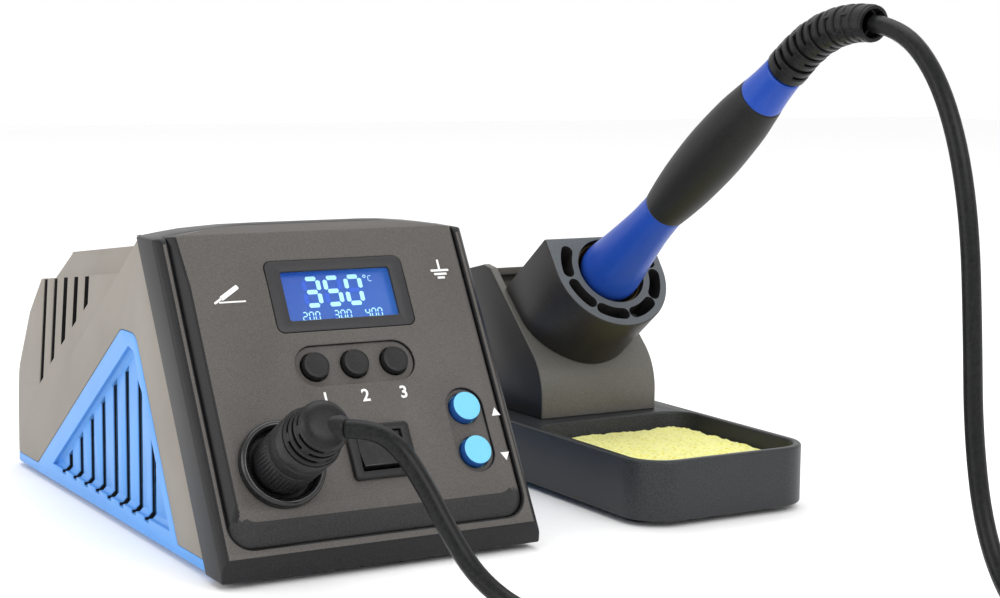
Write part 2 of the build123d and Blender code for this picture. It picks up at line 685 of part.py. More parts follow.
def stand_tower():
    tower = tower_solid(0, TOWER_HALF)
    tower -= tower_solid(TOWER_WALL, TOWER_HALF - TOWER_WALL)
    mouth = block((STAND_X - TOWER_HALF + 3, STAND_X + TOWER_HALF - 3), (116, 146), (60, 100))
    tower -= mouth
    tower -= disc((0, 0), BORE_RADIUS + FIT, -60, 5, iron_plane)
    for x, y in tower_screws_at():
        post = Pos(x, y, STAND_TOP + 0.02) * extrude(Circle(4.0), 12)
        tower += post
        tower -= Pos(x, y, STAND_TOP - 5) * extrude(Circle(1.45), 15)
    return largest(tower)


def block_face():
    """The holder block's end face: round below, square above."""
    face = Circle(BLOCK_RADIUS) + Pos(0, BLOCK_UP / 2) * Rectangle(2 * BLOCK_RADIUS, BLOCK_UP)
    return face - Pos(0, BLOCK_UP + 20) * Rectangle(100, 40)


def vent_angles():
    """Middle angles of the kidney holes round the bore."""
    return [164, 209, 252, 295, 338, 382]


def kidney(angle):
    """One kidney hole, cut from the face into the block."""
    ring, half_width, half_turn = 17.6, 2.2, 14.0
    line = CenterArc((0, 0), ring, angle - half_turn, 2 * half_turn)
    return extrude(iron_plane(-12.0) * SlotArc(line, 2 * half_width), 20)


def holder_block():
    body = extrude(iron_plane(-BLOCK_DEPTH) * block_face(), BLOCK_DEPTH)
    body -= tower_solid(0, 60)
    body -= disc((0, 0), BORE_RADIUS, -60, 5, iron_plane)
    for angle in vent_angles():
        body -= kidney(angle)
    return largest(body)


def holder_sleeve():
    """Brass sleeve with an inner lip that the iron's collar rests on."""
    outline = [(BORE_RADIUS - 0.1, -26.0), (BORE_RADIUS - 0.1, -2.0), (11.9, -2.0),
               (11.9, -4.2), (9.7, -5.4), (9.7, -7.0), (11.9, -8.2), (11.9, -26.0)]
    return turned(outline, iron_plane())


def stand_screws():
    return Compound([screw(Plane(origin=(x, y, 7.98), z_dir=(0, 0, -1)), 3.1, 1.4, 20.0, 2.0)
                     for x, y in tower_screws_at()])


def stand_feet_at():
    """Where the holder's rubber feet sit."""
    return [(STAND_X + x, y) for x in (-26.0, 26.0) for y in (24.0, 146.0)]


def stand_feet():
    return Compound([foot(x, y, 5.0) for x, y in stand_feet_at()])


def sponge():
    pad = tray_hollow(1.2, TRAY_FLOOR + 0.3, SPONGE_TOP)
    return fillet(pad.faces().sort_by(Axis.Z)[-1].edges(), 1.0)


# ---- iron ----------------------------------------------------------------------------------
def iron_tip():
    outline = [(0, TIP_END), (0.6, TIP_END + 0.4), (3.0, TIP_END + 14.0), (3.3, TIP_END + 15),
               (3.3, -50.1), (2.35, -50.1), (2.35, -57.0), (0, -57.0)]
    return turned(outline, iron_plane())


def tip_barrel():
    outline = [(4.6, -50.0), (4.6, -14.0), (5.9, -14.0), (5.9, -12.0), (2.6, -12.0),
               (2.6, -50.0)]
    return turned(outline, iron_plane())


def barrel_nut():
    """Knurled nut that clamps the barrel's flange to the handle."""
    outline = [(4.9, -19.0), (6.8, -19.0), (7.6, -17.5), (7.6, -5.2), (6.35, -5.2),
               (6.35, -14.4), (4.9, -14.4)]
    nut = turned(outline, iron_plane())
    for step in range(16):
        angle = 2 * pi * step / 16
        nut -= disc((7.9 * cos(angle), 7.9 * sin(angle)), 0.6, -17.0, -6.0, iron_plane)
    return nut


def heater():
    return disc((0, 0), 2.1, -56.5, 8.0, iron_plane)


def handle_core():
    outline = [(2.7, -11.9), (5.9, -11.9), (5.9, 116.0), (4.4, 116.0), (4.4, 10.0), (2.7, 10.0)]
    return turned(outline, iron_plane())


def handle_board():
    return extrude(iron_plane(30.0) * Rectangle(6.5, 1.2), 50.0)


def front_collar():
    outer = Spline((10.9, -1.5), (10.9, 2.0), (9.5, 13.0), (7.9, 27.0), (7.3, GRIP_START))
    rest = Polyline((7.3, GRIP_START), (6.05, GRIP_START), (6.05, -1.0), (8.0, -3.7),
                    (10.2, -3.7), (10.9, -1.5))
    face = make_face(Curve() + outer + rest)
    return iron_plane() * revolve(Plane.XZ * face, Axis.Z)


def grip():
    start, end = GRIP_START + 0.1, GRIP_END - 0.1
    outer = Spline((7.7, start), (9.4, start + 17), (10.0, start + 35), (9.2, start + 51),
                   (7.6, end))
    rest = Polyline((7.6, end), (6.05, end), (6.05, start), (7.7, start))
    return iron_plane() * revolve(Plane.XZ * make_face(Curve() + outer + rest), Axis.Z)


def rear_collar():
    outline = [(6.05, GRIP_END), (7.5, GRIP_END), (6.3, COLLAR_END), (3.0, COLLAR_END),
               (3.0, COLLAR_END - 2), (6.05, COLLAR_END - 2)]
    return turned(outline, iron_plane())


def boot_place(length):
    """Centre and direction of the boot's centreline at a length from its start."""
    start = Vector(*IRON_MOUTH) + AXIS * COLLAR_END
    if length <= BOOT_STRAIGHT:
        return start + AXIS * length, AXIS
    turn = (length - BOOT_STRAIGHT) / BOOT_BEND_RADIUS
    knee = start + AXIS * BOOT_STRAIGHT
    inner = knee + Vector(0, -sin(IRON_RISE), -cos(IRON_RISE)) * BOOT_BEND_RADIUS
    angle = IRON_RISE - turn
    place = inner + Vector(0, sin(angle), cos(angle)) * BOOT_BEND_RADIUS
    return place, Vector(0, -cos(angle), sin(angle))


def boot_length():
    return BOOT_STRAIGHT + BOOT_BEND_RADIUS * radians(BOOT_TURN)


def boot_path():
    """The boot's centreline: a short straight and an arc."""
    length = boot_length()
    points = [boot_place(at)[0] for at in (0, BOOT_STRAIGHT, (length + BOOT_STRAIGHT) / 2, length)]
    return Line(points[0], points[1]) + ThreePointArc(points[1], points[2], points[3])


def cord_boot():
    """Ribbed strain relief; the cord starts at its end."""
    start, way = boot_place(0)
    core = sweep(Plane(origin=start, z_dir=way) * Circle(4.6), path=boot_path())
    length, ribs = boot_length(), 12
    for step in range(ribs):
        at = 2.4 + (length - 4.6) * step / (ribs - 1)
        place, way = boot_place(at - 0.9)
        radius = 6.7 - 1.3 * step / (ribs - 1)
        rib = extrude(Plane(origin=place, z_dir=way) * Circle(radius), 2.0)
        core += rib
    return largest(core)


# ---- plug ----------------------------------------------------------------------------------
def plug_nut():
    nut = disc(SOCKET_AT, NUT_RADIUS, 0.6, 0.6 + NUT_LENGTH)
    nut -= disc(SOCKET_AT, 7.85, -10, 40)
    u, v = SOCKET_AT
    for step in range(30):
        angle = 2 * pi * step / 30
        spot = (u + (NUT_RADIUS + 0.35) * cos(angle), v + (NUT_RADIUS + 0.35) * sin(angle))
        nut -= disc(spot, 0.6, 4.0, NUT_LENGTH - 1.0)
    return nut


def plug_shell():
    """Metal barrel that goes into the socket, and the body behind the nut."""
    shell = disc(SOCKET_AT, 7.1, -8.0, 0.4) - disc(SOCKET_AT, 6.3, -20, -1.6)
    shell += disc(SOCKET_AT, 7.5, 0.4, 13.6)
    body = disc(SOCKET_AT, 9.3, 13.6, 24.0)
    body = fillet(body.edges().filter_by(GeomType.CIRCLE), 0.8)
    return shell + body


def plug_insert():
    """Insulating insert that takes the socket's contacts."""
    insert = disc(SOCKET_AT, 6.2, -7.6, -1.7)
    for spot in pin_spots():
        insert -= disc(spot, 0.95, -20, -2.6)
    return insert


def elbow():
    """Start and direction of the stub that leads the cord out sideways."""
    start = panel_plane(ELBOW_FROM).from_local_coords((*SOCKET_AT, 0))
    return start, Vector(0.70, -0.70, 0.05).normalized()


def plug_boot():
    """Moulded ribbed end of the plug with a rounded cap and a stub for the cord."""
    boot = disc(SOCKET_AT, 6.3, 24.02, PLUG_LENGTH)
    boot = fillet(boot.edges().filter_by(GeomType.CIRCLE).sort_by(
        lambda edge: edge.center().dot(NORMAL))[-1], 2.2)
    for step, radius in enumerate((8.7, 8.1, 7.5)):
        boot += disc(SOCKET_AT, radius, 24.02 + 2.5 * step, 25.7 + 2.5 * step)
    start, way = elbow()
    stub = extrude(Plane(origin=start, z_dir=way) * Circle(ELBOW_RADIUS), ELBOW_LENGTH)
    return boot + stub


# ---- cord ----------------------------------------------------------------------------------
def route_tube(points, name):
    """A round tube of straight runs and tangent arcs through a route's points."""
    points = [Vector(point) for point in points]
    radii = []
    for before, here, after in zip(points, points[1:], points[2:]):
        into, out = here - before, after - here
        turn = radians(into.get_angle(out))
        radii.append(0.45 * min(into.length, out.length) / tan(turn / 2))
    print(name, "radii", [round(radius, 1) for radius in radii])
    path = FilletPolyline(*points, radius=radii)
    start = Plane(origin=points[0], z_dir=points[1] - points[0])
    tube = sweep(start * Circle(CORD / 2), path=path)
    share = tube.volume / (pi * (CORD / 2) ** 2 * path.length)
    print(name, "length", round(path.length, 1), "volume share", round(share, 4))
    return tube


def cord_plug_side():
    stub, way = elbow()
    start = stub + way * (ELBOW_LENGTH + JOIN)
    return route_tube([start, start + way * 8.0] + PLUG_ROUTE, "cord_plug_side")


def cord_iron_side():
    place, way = boot_place(boot_length())
    start = place + way * JOIN
    return route_tube([start, start + way * 11.0] + IRON_ROUTE, "cord_iron_side")


def cord_coil():
    ring = Pos(COIL_X, COIL_Y, COIL_LOW) * extrude(Circle(COIL_OUTER), COIL_HIGH - COIL_LOW)
    return ring - Pos(COIL_X, COIL_Y, COIL_LOW) * extrude(Circle(COIL_INNER), 40)


def cord_tie():
    """A strap round the coil's turns, on its left."""
    left, right = COIL_X - COIL_OUTER, COIL_X - COIL_INNER
    gap, thick, half = 0.4, 0.75, 3.2
    across = (COIL_Y - half, COIL_Y + half)
    outer = block((left - gap - thick, right + gap + thick), across,
                  (BENCH, COIL_HIGH + gap + thick))
    inner = block((left - gap, right + gap), (COIL_Y - 20, COIL_Y + 20),
                  (COIL_LOW - gap, COIL_HIGH + gap))
    return outer - inner


# ---- all pieces ----------------------------------------------------------------------------
def all_pieces():
    """Every node with its shape."""
    pieces = {
        "base_tray": base_tray(), "top_cover": top_cover(), "front_frame": front_frame(),
        "front_panel": front_panel(), "lcd_bezel": lcd_bezel(), "lcd_window": lcd_window(),
        "lcd_module": lcd_module(), "rocker_housing": rocker_housing(), "rocker": rocker(),
        "socket_ring": socket_ring(), "socket_shell": socket_shell(),
        "socket_contacts": socket_contacts(), "display_board": display_board(),
        "tact_switches": tact_switches(), "panel_screws": panel_screws(),
        "main_board": main_board(), "board_screws": board_screws(),
        "board_parts": board_parts(), "heat_sink": heat_sink(),
        "transformer_core": transformer_core(), "transformer_winding": transformer_winding(),
        "rear_panel": rear_panel(), "mains_inlet": mains_inlet(), "inlet_pins": inlet_pins(),
        "inlet_screws": inlet_screws(), "fuse_holder": fuse_holder(), "fuse_cap": fuse_cap(),
        "ground_jack": ground_jack(), "case_screws": case_screws(),
        "station_feet": station_feet(), "stand_base": stand_base(),
        "stand_tower": stand_tower(), "holder_block": holder_block(),
        "holder_sleeve": holder_sleeve(), "stand_screws": stand_screws(),
        "stand_feet": stand_feet(), "sponge": sponge(), "iron_tip": iron_tip(),
        "tip_barrel": tip_barrel(), "barrel_nut": barrel_nut(), "heater": heater(),
        "handle_core": handle_core(), "handle_board": handle_board(),
        "front_collar": front_collar(), "grip": grip(), "rear_collar": rear_collar(),
        "cord_boot": cord_boot(), "plug_nut": plug_nut(), "plug_shell": plug_shell(),
        "plug_insert": plug_insert(), "plug_boot": plug_boot(),
        "cord_plug_side": cord_plug_side(), "cord_iron_side": cord_iron_side(),
        "cord_coil": cord_coil(), "cord_tie": cord_tie(),
    }
    for number, spot in enumerate(preset_spots(), 1):
        pieces[f"preset_button_{number}"] = button(spot, PRESET_RADIUS, 0.9)
    for name, spot in zip(("up_button", "down_button"), arrow_spots()):
        pieces[name] = button(spot, ARROW_RADIUS, 1.5)
    return pieces


def main():
    os.makedirs("parts", exist_ok=True)
    place = Pos(-ORIGIN_X, -ORIGIN_Y, FOOT_HEIGHT)
    for name, piece in all_pieces().items():
        export_step(place * Compound(piece.solids()), f"parts/{name}.step")


main()
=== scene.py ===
"""Bench soldering station: control unit, iron, holder and cord, laid out as a Blender add-on.

New pieces are modelled in millimetres on the plane that they belong to (station, panel or iron)
and are then set in the shared frame, in metres, with their place in their mesh.
"""
import json
from math import cos, pi, radians, sin

import bmesh
import bpy
from mathutils import Euler, Matrix, Vector


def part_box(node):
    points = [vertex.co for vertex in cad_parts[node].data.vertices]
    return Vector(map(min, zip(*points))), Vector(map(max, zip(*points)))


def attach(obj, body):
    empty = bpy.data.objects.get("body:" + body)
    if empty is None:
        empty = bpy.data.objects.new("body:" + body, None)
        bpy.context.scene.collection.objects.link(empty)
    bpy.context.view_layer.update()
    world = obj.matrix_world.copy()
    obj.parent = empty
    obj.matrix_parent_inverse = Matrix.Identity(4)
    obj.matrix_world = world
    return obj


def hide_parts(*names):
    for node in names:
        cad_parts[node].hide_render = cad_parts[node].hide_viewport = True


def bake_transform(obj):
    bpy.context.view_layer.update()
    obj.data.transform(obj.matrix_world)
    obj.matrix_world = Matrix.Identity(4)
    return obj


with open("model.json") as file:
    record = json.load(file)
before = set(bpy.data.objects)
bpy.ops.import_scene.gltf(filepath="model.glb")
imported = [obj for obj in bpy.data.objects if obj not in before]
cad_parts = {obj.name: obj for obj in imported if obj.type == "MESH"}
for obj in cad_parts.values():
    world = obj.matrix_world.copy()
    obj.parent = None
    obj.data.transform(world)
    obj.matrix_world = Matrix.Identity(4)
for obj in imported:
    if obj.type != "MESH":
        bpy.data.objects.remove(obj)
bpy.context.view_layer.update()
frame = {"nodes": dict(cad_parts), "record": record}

bl_info = {
    "name": "Soldering Station",
    "version": (1, 0, 0),
    "blender": (4, 5, 0),
    "location": "3D View > Sidebar > Station",
    "description": "Builds a soldering station with its holder, iron and cord round a packed frame",
    "category": "Add Mesh",
}

# ---- places ---------------------------------------------------------------------------------
MM = 0.001
DEPTH = 207.0                                   # front edge to rear wall of the control unit
LEAN = radians(30.0)                            # panel leaned back from upright
IRON_RISE = radians(37.3)                       # iron above the bench
IRON_MOUTH = Vector((128.0, 82.2, 72.7))        # where the iron leaves the holder block


def station_origin():
    """The control unit's front edge on its middle line, at the underside of its base."""
    low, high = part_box("front_frame")
    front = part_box("top_cover")[1].y - DEPTH * MM
    return Vector(((low.x + high.x) / 2, front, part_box("base_tray")[0].z))


ORIGIN = station_origin()
STATION = Matrix.Translation(ORIGIN) @ Matrix.Scale(MM, 4)
PANEL = STATION @ Matrix.Rotation(pi / 2 - LEAN, 4, "X")
IRON = STATION @ Matrix.Translation(IRON_MOUTH) @ Matrix.Rotation(pi / 2 - IRON_RISE, 4, "X")

PANEL_NORMAL = (PANEL.to_3x3() @ Vector((0, 0, 1))).normalized()
IRON_AXIS = (IRON.to_3x3() @ Vector((0, 0, 1))).normalized()

# on the panel, in millimetres to the right of its middle and up from its lower edge
LCD_AT, LCD_SIZE, LCD_VIEW = (2.6, 87.4), (46.3, 23.4), (36.9, 16.1)
PRESETS = [(2.2 + 13.3 * step, 64.5) for step in (-1, 0, 1)]
ARROWS = [(35.3, 47.15), (35.3, 32.85)]
SOCKET_AT = (-29.4, 34.7)
AT_SOCKET = PANEL @ Matrix.Translation((*SOCKET_AT, 0))

# ---- cord -----------------------------------------------------------------------------------
# Routes in metres from the control unit's own origin; the first two points of each follow from
# the direction in which the cord leaves the plug or the boot.
STUB_WAY = Vector((0.70, -0.70, 0.05)).normalized()
STUB_FROM, STUB_LENGTH = 31.0, 7.55             # along the panel's normal, then along the stub
PLUG_ROUTE = [(-0.0135, -0.0270, 0.0415), (-0.0088, -0.0323, 0.0315), (-0.0052, -0.0390, 0.0200),
              (-0.0008, -0.0480, 0.0080), (0.0060, -0.0620, 0.00075), (0.0150, -0.0840, 0.00075),
              (0.0215, -0.1120, 0.00075), (0.0238, -0.1400, 0.00075), (0.0234, -0.1610, 0.00105)]
IRON_ROUTE = [(0.1276, -0.0780, 0.1470), (0.1272, -0.0890, 0.1285), (0.1270, -0.0958, 0.1040),
              (0.1268, -0.0988, 0.0740), (0.1265, -0.1010, 0.0460), (0.1263, -0.1065, 0.0210),
              (0.1238, -0.1190, 0.0045), (0.1170, -0.1380, 0.00075), (0.1060, -0.1550, 0.0030),
              (0.1016, -0.1700, 0.0050)]
COIL_AT = Vector((0.0620, -0.1780, 0.0))
COIL_WIDE, COIL_TIGHT = 0.0388, 0.0272          # radii of the outermost and innermost turns
COIL_TOP, COIL_BOTTOM = 0.00755, 0.00195        # heights of its two layers
TURN_POINTS = 24

# ---- iron, in millimetres along its axis from the holder's mouth -----------------------------
GRIP_START, GRIP_END, COLLAR_END = 40.7, 104.8, 118.5
BOOT_STRAIGHT, BOOT_RADIUS, BOOT_TURN = 8.0, 47.7, radians(43.4)
BOOT_LENGTH = BOOT_STRAIGHT + BOOT_RADIUS * BOOT_TURN
TIP_END = -75.0


# ---- modelling ------------------------------------------------------------------------------
def only(piece=None):
    """Nothing selected but this piece, in object mode."""
    if bpy.context.object and bpy.context.object.mode != "OBJECT":
        bpy.ops.object.mode_set(mode="OBJECT")
    bpy.ops.object.select_all(action="DESELECT")
    if piece:
        piece.select_set(True)
        bpy.context.view_layer.objects.active = piece
    return piece


def primitive(kind, **settings):
    """A new mesh primitive, alone in the selection."""
    only()
    getattr(bpy.ops.mesh, f"primitive_{kind}_add")(**settings)
    bpy.ops.object.transform_apply(location=True, rotation=True, scale=True)
    return bpy.context.object


def pick(piece, test, kind="faces"):
    """In edit mode, selects the faces, edges or verts that pass a test."""
    bpy.ops.mesh.select_mode(type={"faces": "FACE", "edges": "EDGE", "verts": "VERT"}[kind])
    bpy.ops.mesh.select_all(action="DESELECT")
    mesh = bmesh.from_edit_mesh(piece.data)
    for part in getattr(mesh, kind):
        if test(part):
            part.select_set(True)
    mesh.select_flush_mode()
    bmesh.update_edit_mesh(piece.data)


def modified(piece, kind, **settings):
    """The piece with a modifier applied."""
    only(piece)
    modifier = piece.modifiers.new(kind.title(), kind)
    for name, value in settings.items():
        setattr(modifier, name, value)
    bpy.ops.object.modifier_apply(modifier=modifier.name)
    return piece


def soften(piece, width, segments=2, angle=32.0):
    """Rounds a piece's sharp edges."""
    return modified(piece, "BEVEL", width=width, segments=segments, limit_method="ANGLE",
                    angle_limit=radians(angle), use_clamp_overlap=False)


def cut(piece, tool):
    """Takes the tool's shape out of the piece."""
    modified(piece, "BOOLEAN", operation="DIFFERENCE", object=tool, solver="EXACT")
    bpy.data.objects.remove(tool)
    return piece


def joined(pieces):
    """Several pieces as one mesh."""
    only(pieces[0])
    for piece in pieces[1:]:
        piece.select_set(True)
    bpy.ops.object.join()
    return pieces[0]


def turned(profile, sides=64, closed=False):
    """A ring drawn out along Z through (radius, height) stations, then capped or closed."""
    radius, height = profile[0]
    piece = primitive("circle", vertices=sides, radius=radius, location=(0, 0, height))
    bpy.ops.object.mode_set(mode="EDIT")
    bpy.ops.mesh.select_all(action="SELECT")
    for next_radius, next_height in profile[1:] + (profile[:1] if closed else []):
        rise = {"value": (0, 0, next_height - height)}
        bpy.ops.mesh.extrude_region_move(TRANSFORM_OT_translate=rise)
        share = next_radius / radius
        bpy.ops.transform.resize(value=(share, share, 1), center_override=(0, 0, next_height))
        radius, height = next_radius, next_height
    bpy.ops.mesh.select_all(action="SELECT")
    bpy.ops.mesh.remove_doubles(threshold=0.0005)
    if not closed:
        bpy.ops.mesh.fill_holes(sides=0)
    bpy.ops.mesh.select_all(action="SELECT")
    bpy.ops.mesh.normals_make_consistent(inside=False)
    bpy.ops.object.mode_set(mode="OBJECT")
    return piece


def flowing(points, steps=6):
    """A smooth outline through (radius, height) points."""
    ends = [points[0]] + list(points) + [points[-1]]
    smooth = []
    for a, b, c, d in zip(ends, ends[1:], ends[2:], ends[3:]):
        for step in range(steps):
            t = step / steps
            smooth.append(tuple(0.5 * (2 * q + (r - p) * t + (2 * p - 5 * q + 4 * r - s) * t * t
                                       + (3 * q - p - 3 * r + s) * t ** 3)
                                for p, q, r, s in zip(a, b, c, d)))
    return smooth + [tuple(points[-1])]


def plate(at, size, low, high, corner=0.0, steps=8):
    """A block on the XY plane with rounded upright corners."""
    piece = primitive("cube", size=1, location=(*at, (low + high) / 2), scale=(*size, high - low))
    if corner:
        bpy.ops.object.mode_set(mode="EDIT")
        half = (high - low) / 2
        pick(piece, lambda edge: abs(edge.verts[0].co.z - edge.verts[1].co.z) > half, "edges")
        bpy.ops.mesh.bevel(offset=corner, segments=steps, affect="EDGES")
        bpy.ops.object.mode_set(mode="OBJECT")
    return piece


WELD = 0.003                                    # millimetres between points that are one
FLAT = radians(0.6)                             # faces that turn less than this are one


def softened(node, width, segments=2, angle=32.0, whole=True):
    """A copy of a CAD node with its edges rounded, its triangles first merged into whole faces."""
    piece = bpy.data.objects.new(node, frame["nodes"][node].data.copy())
    bpy.context.collection.objects.link(piece)
    only(piece)
    bpy.ops.object.mode_set(mode="EDIT")
    bpy.ops.mesh.select_all(action="SELECT")
    bpy.ops.mesh.remove_doubles(threshold=WELD * MM)
    if whole:
        bpy.ops.mesh.dissolve_limited(angle_limit=FLAT)
    bpy.ops.object.mode_set(mode="OBJECT")
    if piece.data.has_custom_normals:
        bpy.ops.mesh.customdata_custom_splitnormals_clear()
    return soften(piece, width * MM, segments, angle) if width else piece


def settle(piece, name, place, body, finish, replaces=(), angle=32.0):
    """Sets a finished piece in the shared frame, on its body, with its finish."""
    only(piece)
    piece.data.transform(place)
    bpy.ops.object.shade_smooth_by_angle(angle=radians(angle))
    piece.name = name
    if finish:
        piece.data.materials.clear()
        piece.data.materials.append(finish)
    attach(piece, body)
    if replaces:
        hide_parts(*replaces)
    return piece


HOLLOW_HALF = 48.6 * MM                         # the case's inner half width
HOLLOW_DEPTH = 8 * MM                           # a face inside sees nothing nearer than this
SLOT_WIDTH = 4.4 * MM                           # the walls of a slot face each other within this


def paint_shade_inside(piece, finish, roof):
    """Paints shade in near-black on what lies under the roof in a hollow piece, and on its slots' walls,
    so that the inside and the vents read dark.
    """

    def looks_across(face):
        start = face.center + face.normal * 0.2 * MM
        hit, place, _, _ = piece.ray_cast(start, face.normal)
        gap = (place - start).length
        covered = abs((face.center - ORIGIN).x) < HOLLOW_HALF and roof.ray_cast(start, (0, 0, 1))[0]
        in_slot = abs(face.normal.y) > 0.85 and gap < SLOT_WIDTH
        return hit and (covered and gap > HOLLOW_DEPTH or in_slot)

    second_finish(piece, finish, looks_across)


def second_finish(piece, finish, test):
    """Gives the faces that pass a test another finish."""
    chosen = [face for face in piece.data.polygons if test(face)]
    piece.data.materials.append(finish)
    for face in chosen:
        face.material_index = len(piece.data.materials) - 1


# ---- materials ------------------------------------------------------------------------------
def linear(code):
    """An sRGB hex colour as linear RGBA."""
    channels = [int(code[place:place + 2], 16) / 255 for place in (1, 3, 5)]
    return [c / 12.92 if c <= 0.04045 else ((c + 0.055) / 1.055) ** 2.4 for c in channels] + [1.0]


def mixed(colour, other, share):
    """A colour part of the way to another one."""
    return [a + (b - a) * share for a, b in zip(colour, other)]


def add_node(tree, kind, settings=None, inputs=None):
    """Adds a node; an input is a value, or a socket to link from."""
    node = tree.nodes.new("ShaderNode" + kind)
    for name, value in (settings or {}).items():
        setattr(node, name, value)
    for name, value in (inputs or {}).items():
        if isinstance(value, bpy.types.NodeSocket):
            tree.links.new(value, node.inputs[name])
        else:
            node.inputs[name].default_value = value
    return node


def new_material(name):
    """An empty node material and its tree."""
    material = bpy.data.materials.get(name)
    if material:
        return material, None
    material = bpy.data.materials.new(name)
    material.use_nodes = True
    material.node_tree.nodes.clear()
    return material, material.node_tree


def surfaced(name, colour, roughness, grain, depth, speckle=0.10, drift=0.08, metallic=0.0,
             stretch=(1, 1, 1), shine=0.25, shader=None):
    """A surface whose grain, and the grain's depth, are in millimetres.

    speckle and drift are how far its colour goes from grain to grain and over a hand's breadth."""
    material, tree = new_material(name)
    if tree is None:
        return material
    base = linear(colour) if isinstance(colour, str) else list(colour)
    white, black = linear("#ffffff"), linear("#000000")
    hand = 28                                   # millimetres over which the colour drifts
    where = add_node(tree, "TexCoord").outputs["Object"]
    lie = add_node(tree, "Mapping", inputs={"Vector": where, "Scale": stretch}).outputs[0]
    fine = add_node(tree, "TexNoise", inputs={"Vector": lie, "Scale": 1 / (grain * MM), "Detail": 2.0,
                                              "Roughness": 0.6}).outputs[0]
    broad = add_node(tree, "TexNoise", inputs={"Vector": where, "Scale": 1 / (hand * MM),
                                               "Detail": 3.0}).outputs[0]
    grains = add_node(tree, "MapRange", inputs={"Value": fine, "From Min": 0.3, "From Max": 0.7})
    speckled = add_node(tree, "Mix", {"data_type": "RGBA"}, {
        0: grains.outputs[0], 6: mixed(base, black, speckle), 7: mixed(base, white, speckle * 0.15)})
    drifts = add_node(tree, "MapRange", inputs={"Value": broad, "From Min": 0.3, "From Max": 0.7,
                                                "To Min": 1 - drift, "To Max": 1 + drift})
    toned = add_node(tree, "HueSaturation", inputs={"Color": speckled.outputs[2],
                                                    "Value": drifts.outputs[0]})
    rough = add_node(tree, "MapRange", inputs={"Value": fine, "To Min": roughness - 0.07,
                                               "To Max": roughness + 0.07})
    bump = add_node(tree, "Bump", inputs={"Height": fine, "Strength": 1.0, "Distance": depth * MM})
    inputs = {"Base Color": toned.outputs[0], "Roughness": rough.outputs[0], "Normal": bump.outputs[0],
              "Metallic": metallic, "Specular IOR Level": 0.5 if metallic else shine}
    inputs.update(shader or {})
    principled = add_node(tree, "BsdfPrincipled", inputs=inputs)
    add_node(tree, "OutputMaterial", inputs={"Surface": principled.outputs[0]})
    return material


def colours():
    """The colours that the sidebar offers."""
    return bpy.context.scene.station_colours


def case_abs():
    """Moulded ABS with a fine spark-eroded grain, which scatters light into a soft taupe.

    The real grain is about a tenth of a millimetre; this and the other moulded grains and powder
    coats are drawn at 0.3 to 0.5 mm so that they show."""
    return surfaced("Spark_textured_ABS_taupe", colours().case, 0.50, 0.32, 0.010, 0.10, 0.06)


def panel_abs():
    """The same ABS from a coarser mould, so that its speckle shows."""
    return surfaced("Spark_textured_ABS_dark", colours().panel, 0.46, 0.36, 0.014, 0.20, 0.06)


def panel_band_painted_shade():
    """The panel's lower band: the same ABS, painted darker and cooler as shade where the band turns down
    from the light.
    """
    return surfaced("Spark_textured_ABS_edge", "#222122", 0.46, 0.36, 0.012, 0.14, 0.05)


def black_painted_shade():
    """Satin black ABS that a long soft highlight runs along; on the front frame's chamfers and on the
    panel's sides and left bevel this black is painted shade, where those faces turn from the light.
    """
    return surfaced("Satin_ABS_black", "#0c0c0f", 0.36, 0.30, 0.006, 0.10, 0.05)


def base_abs():
    """Satin blue ABS, nearly smooth, with a broad sheen."""
    return surfaced("Satin_ABS_blue", colours().base, 0.36, 0.40, 0.004, 0.05, 0.07)


def inside_painted_shade():
    """Near-black painted shade inside the case and on its slot walls, which keeps the vents dark."""
    return surfaced("Carbon_shielding_paint", "#08080a", 0.85, 0.6, 0.01, 0.1, 0.1)


def bezel_abs():
    """Satin grey surround of the display."""
    return surfaced("Satin_ABS_grey", "#2b2b2d", 0.42, 0.35, 0.004, 0.08, 0.04)


def window_acrylic():
    """Clear acrylic: hardly there, but for its reflections."""
    return surfaced("Clear_acrylic", "#3a5a90", 0.08, 3.0, 0.0005, 0.0, 0.0,
                    shader={"Alpha": 0.05, "IOR": 1.49})


def display_glass():
    """Backlit liquid crystal: deep blue, brighter near the lamps at its right and lower edges."""
    material, tree = new_material("Backlit_LCD")
    if tree is None:
        return material
    centre = PANEL @ Vector((*LCD_AT, 0))
    where = add_node(tree, "TexCoord").outputs["Object"]
    lie = add_node(tree, "Mapping", inputs={"Vector": where, "Location": -centre})
    split = add_node(tree, "SeparateXYZ", inputs={"Vector": lie.outputs[0]})
    along = add_node(tree, "MapRange", inputs={"Value": split.outputs["X"], "From Min": -18 * MM,
                                               "From Max": 18 * MM, "To Min": 0.0, "To Max": 0.55})
    down = add_node(tree, "MapRange", inputs={"Value": split.outputs["Z"], "From Min": 7 * MM,
                                              "From Max": -7 * MM, "To Min": 0.0, "To Max": 0.45})
    both = add_node(tree, "Math", {"operation": "ADD"}, {0: along.outputs[0], 1: down.outputs[0]})
    cell = add_node(tree, "TexNoise", inputs={"Vector": where, "Scale": 1 / (6 * MM), "Detail": 2.0})
    glow = add_node(tree, "Math", {"operation": "MULTIPLY_ADD"}, {0: cell.outputs[0], 1: 0.25,
                                                                 2: both.outputs[0]})
    blue = add_node(tree, "Mix", {"data_type": "RGBA"}, {0: glow.outputs[0], 6: linear("#1f50bc"),
                                                        7: linear("#4a84dc")})
    principled = add_node(tree, "BsdfPrincipled", inputs={
        "Base Color": linear("#12307c"), "Roughness": 0.25, "Emission Color": blue.outputs[2],
        "Emission Strength": 0.5})
    add_node(tree, "OutputMaterial", inputs={"Surface": principled.outputs[0]})
    return material


def lit_segment():
    """Segments that let the lamps through: pale cyan."""
    return surfaced("LCD_lit_segment", "#a9dcf6", 0.4, 0.8, 0.0005, 0.05, 0.03,
                    shader={"Emission Color": linear("#9fdcf8"), "Emission Strength": 0.45})


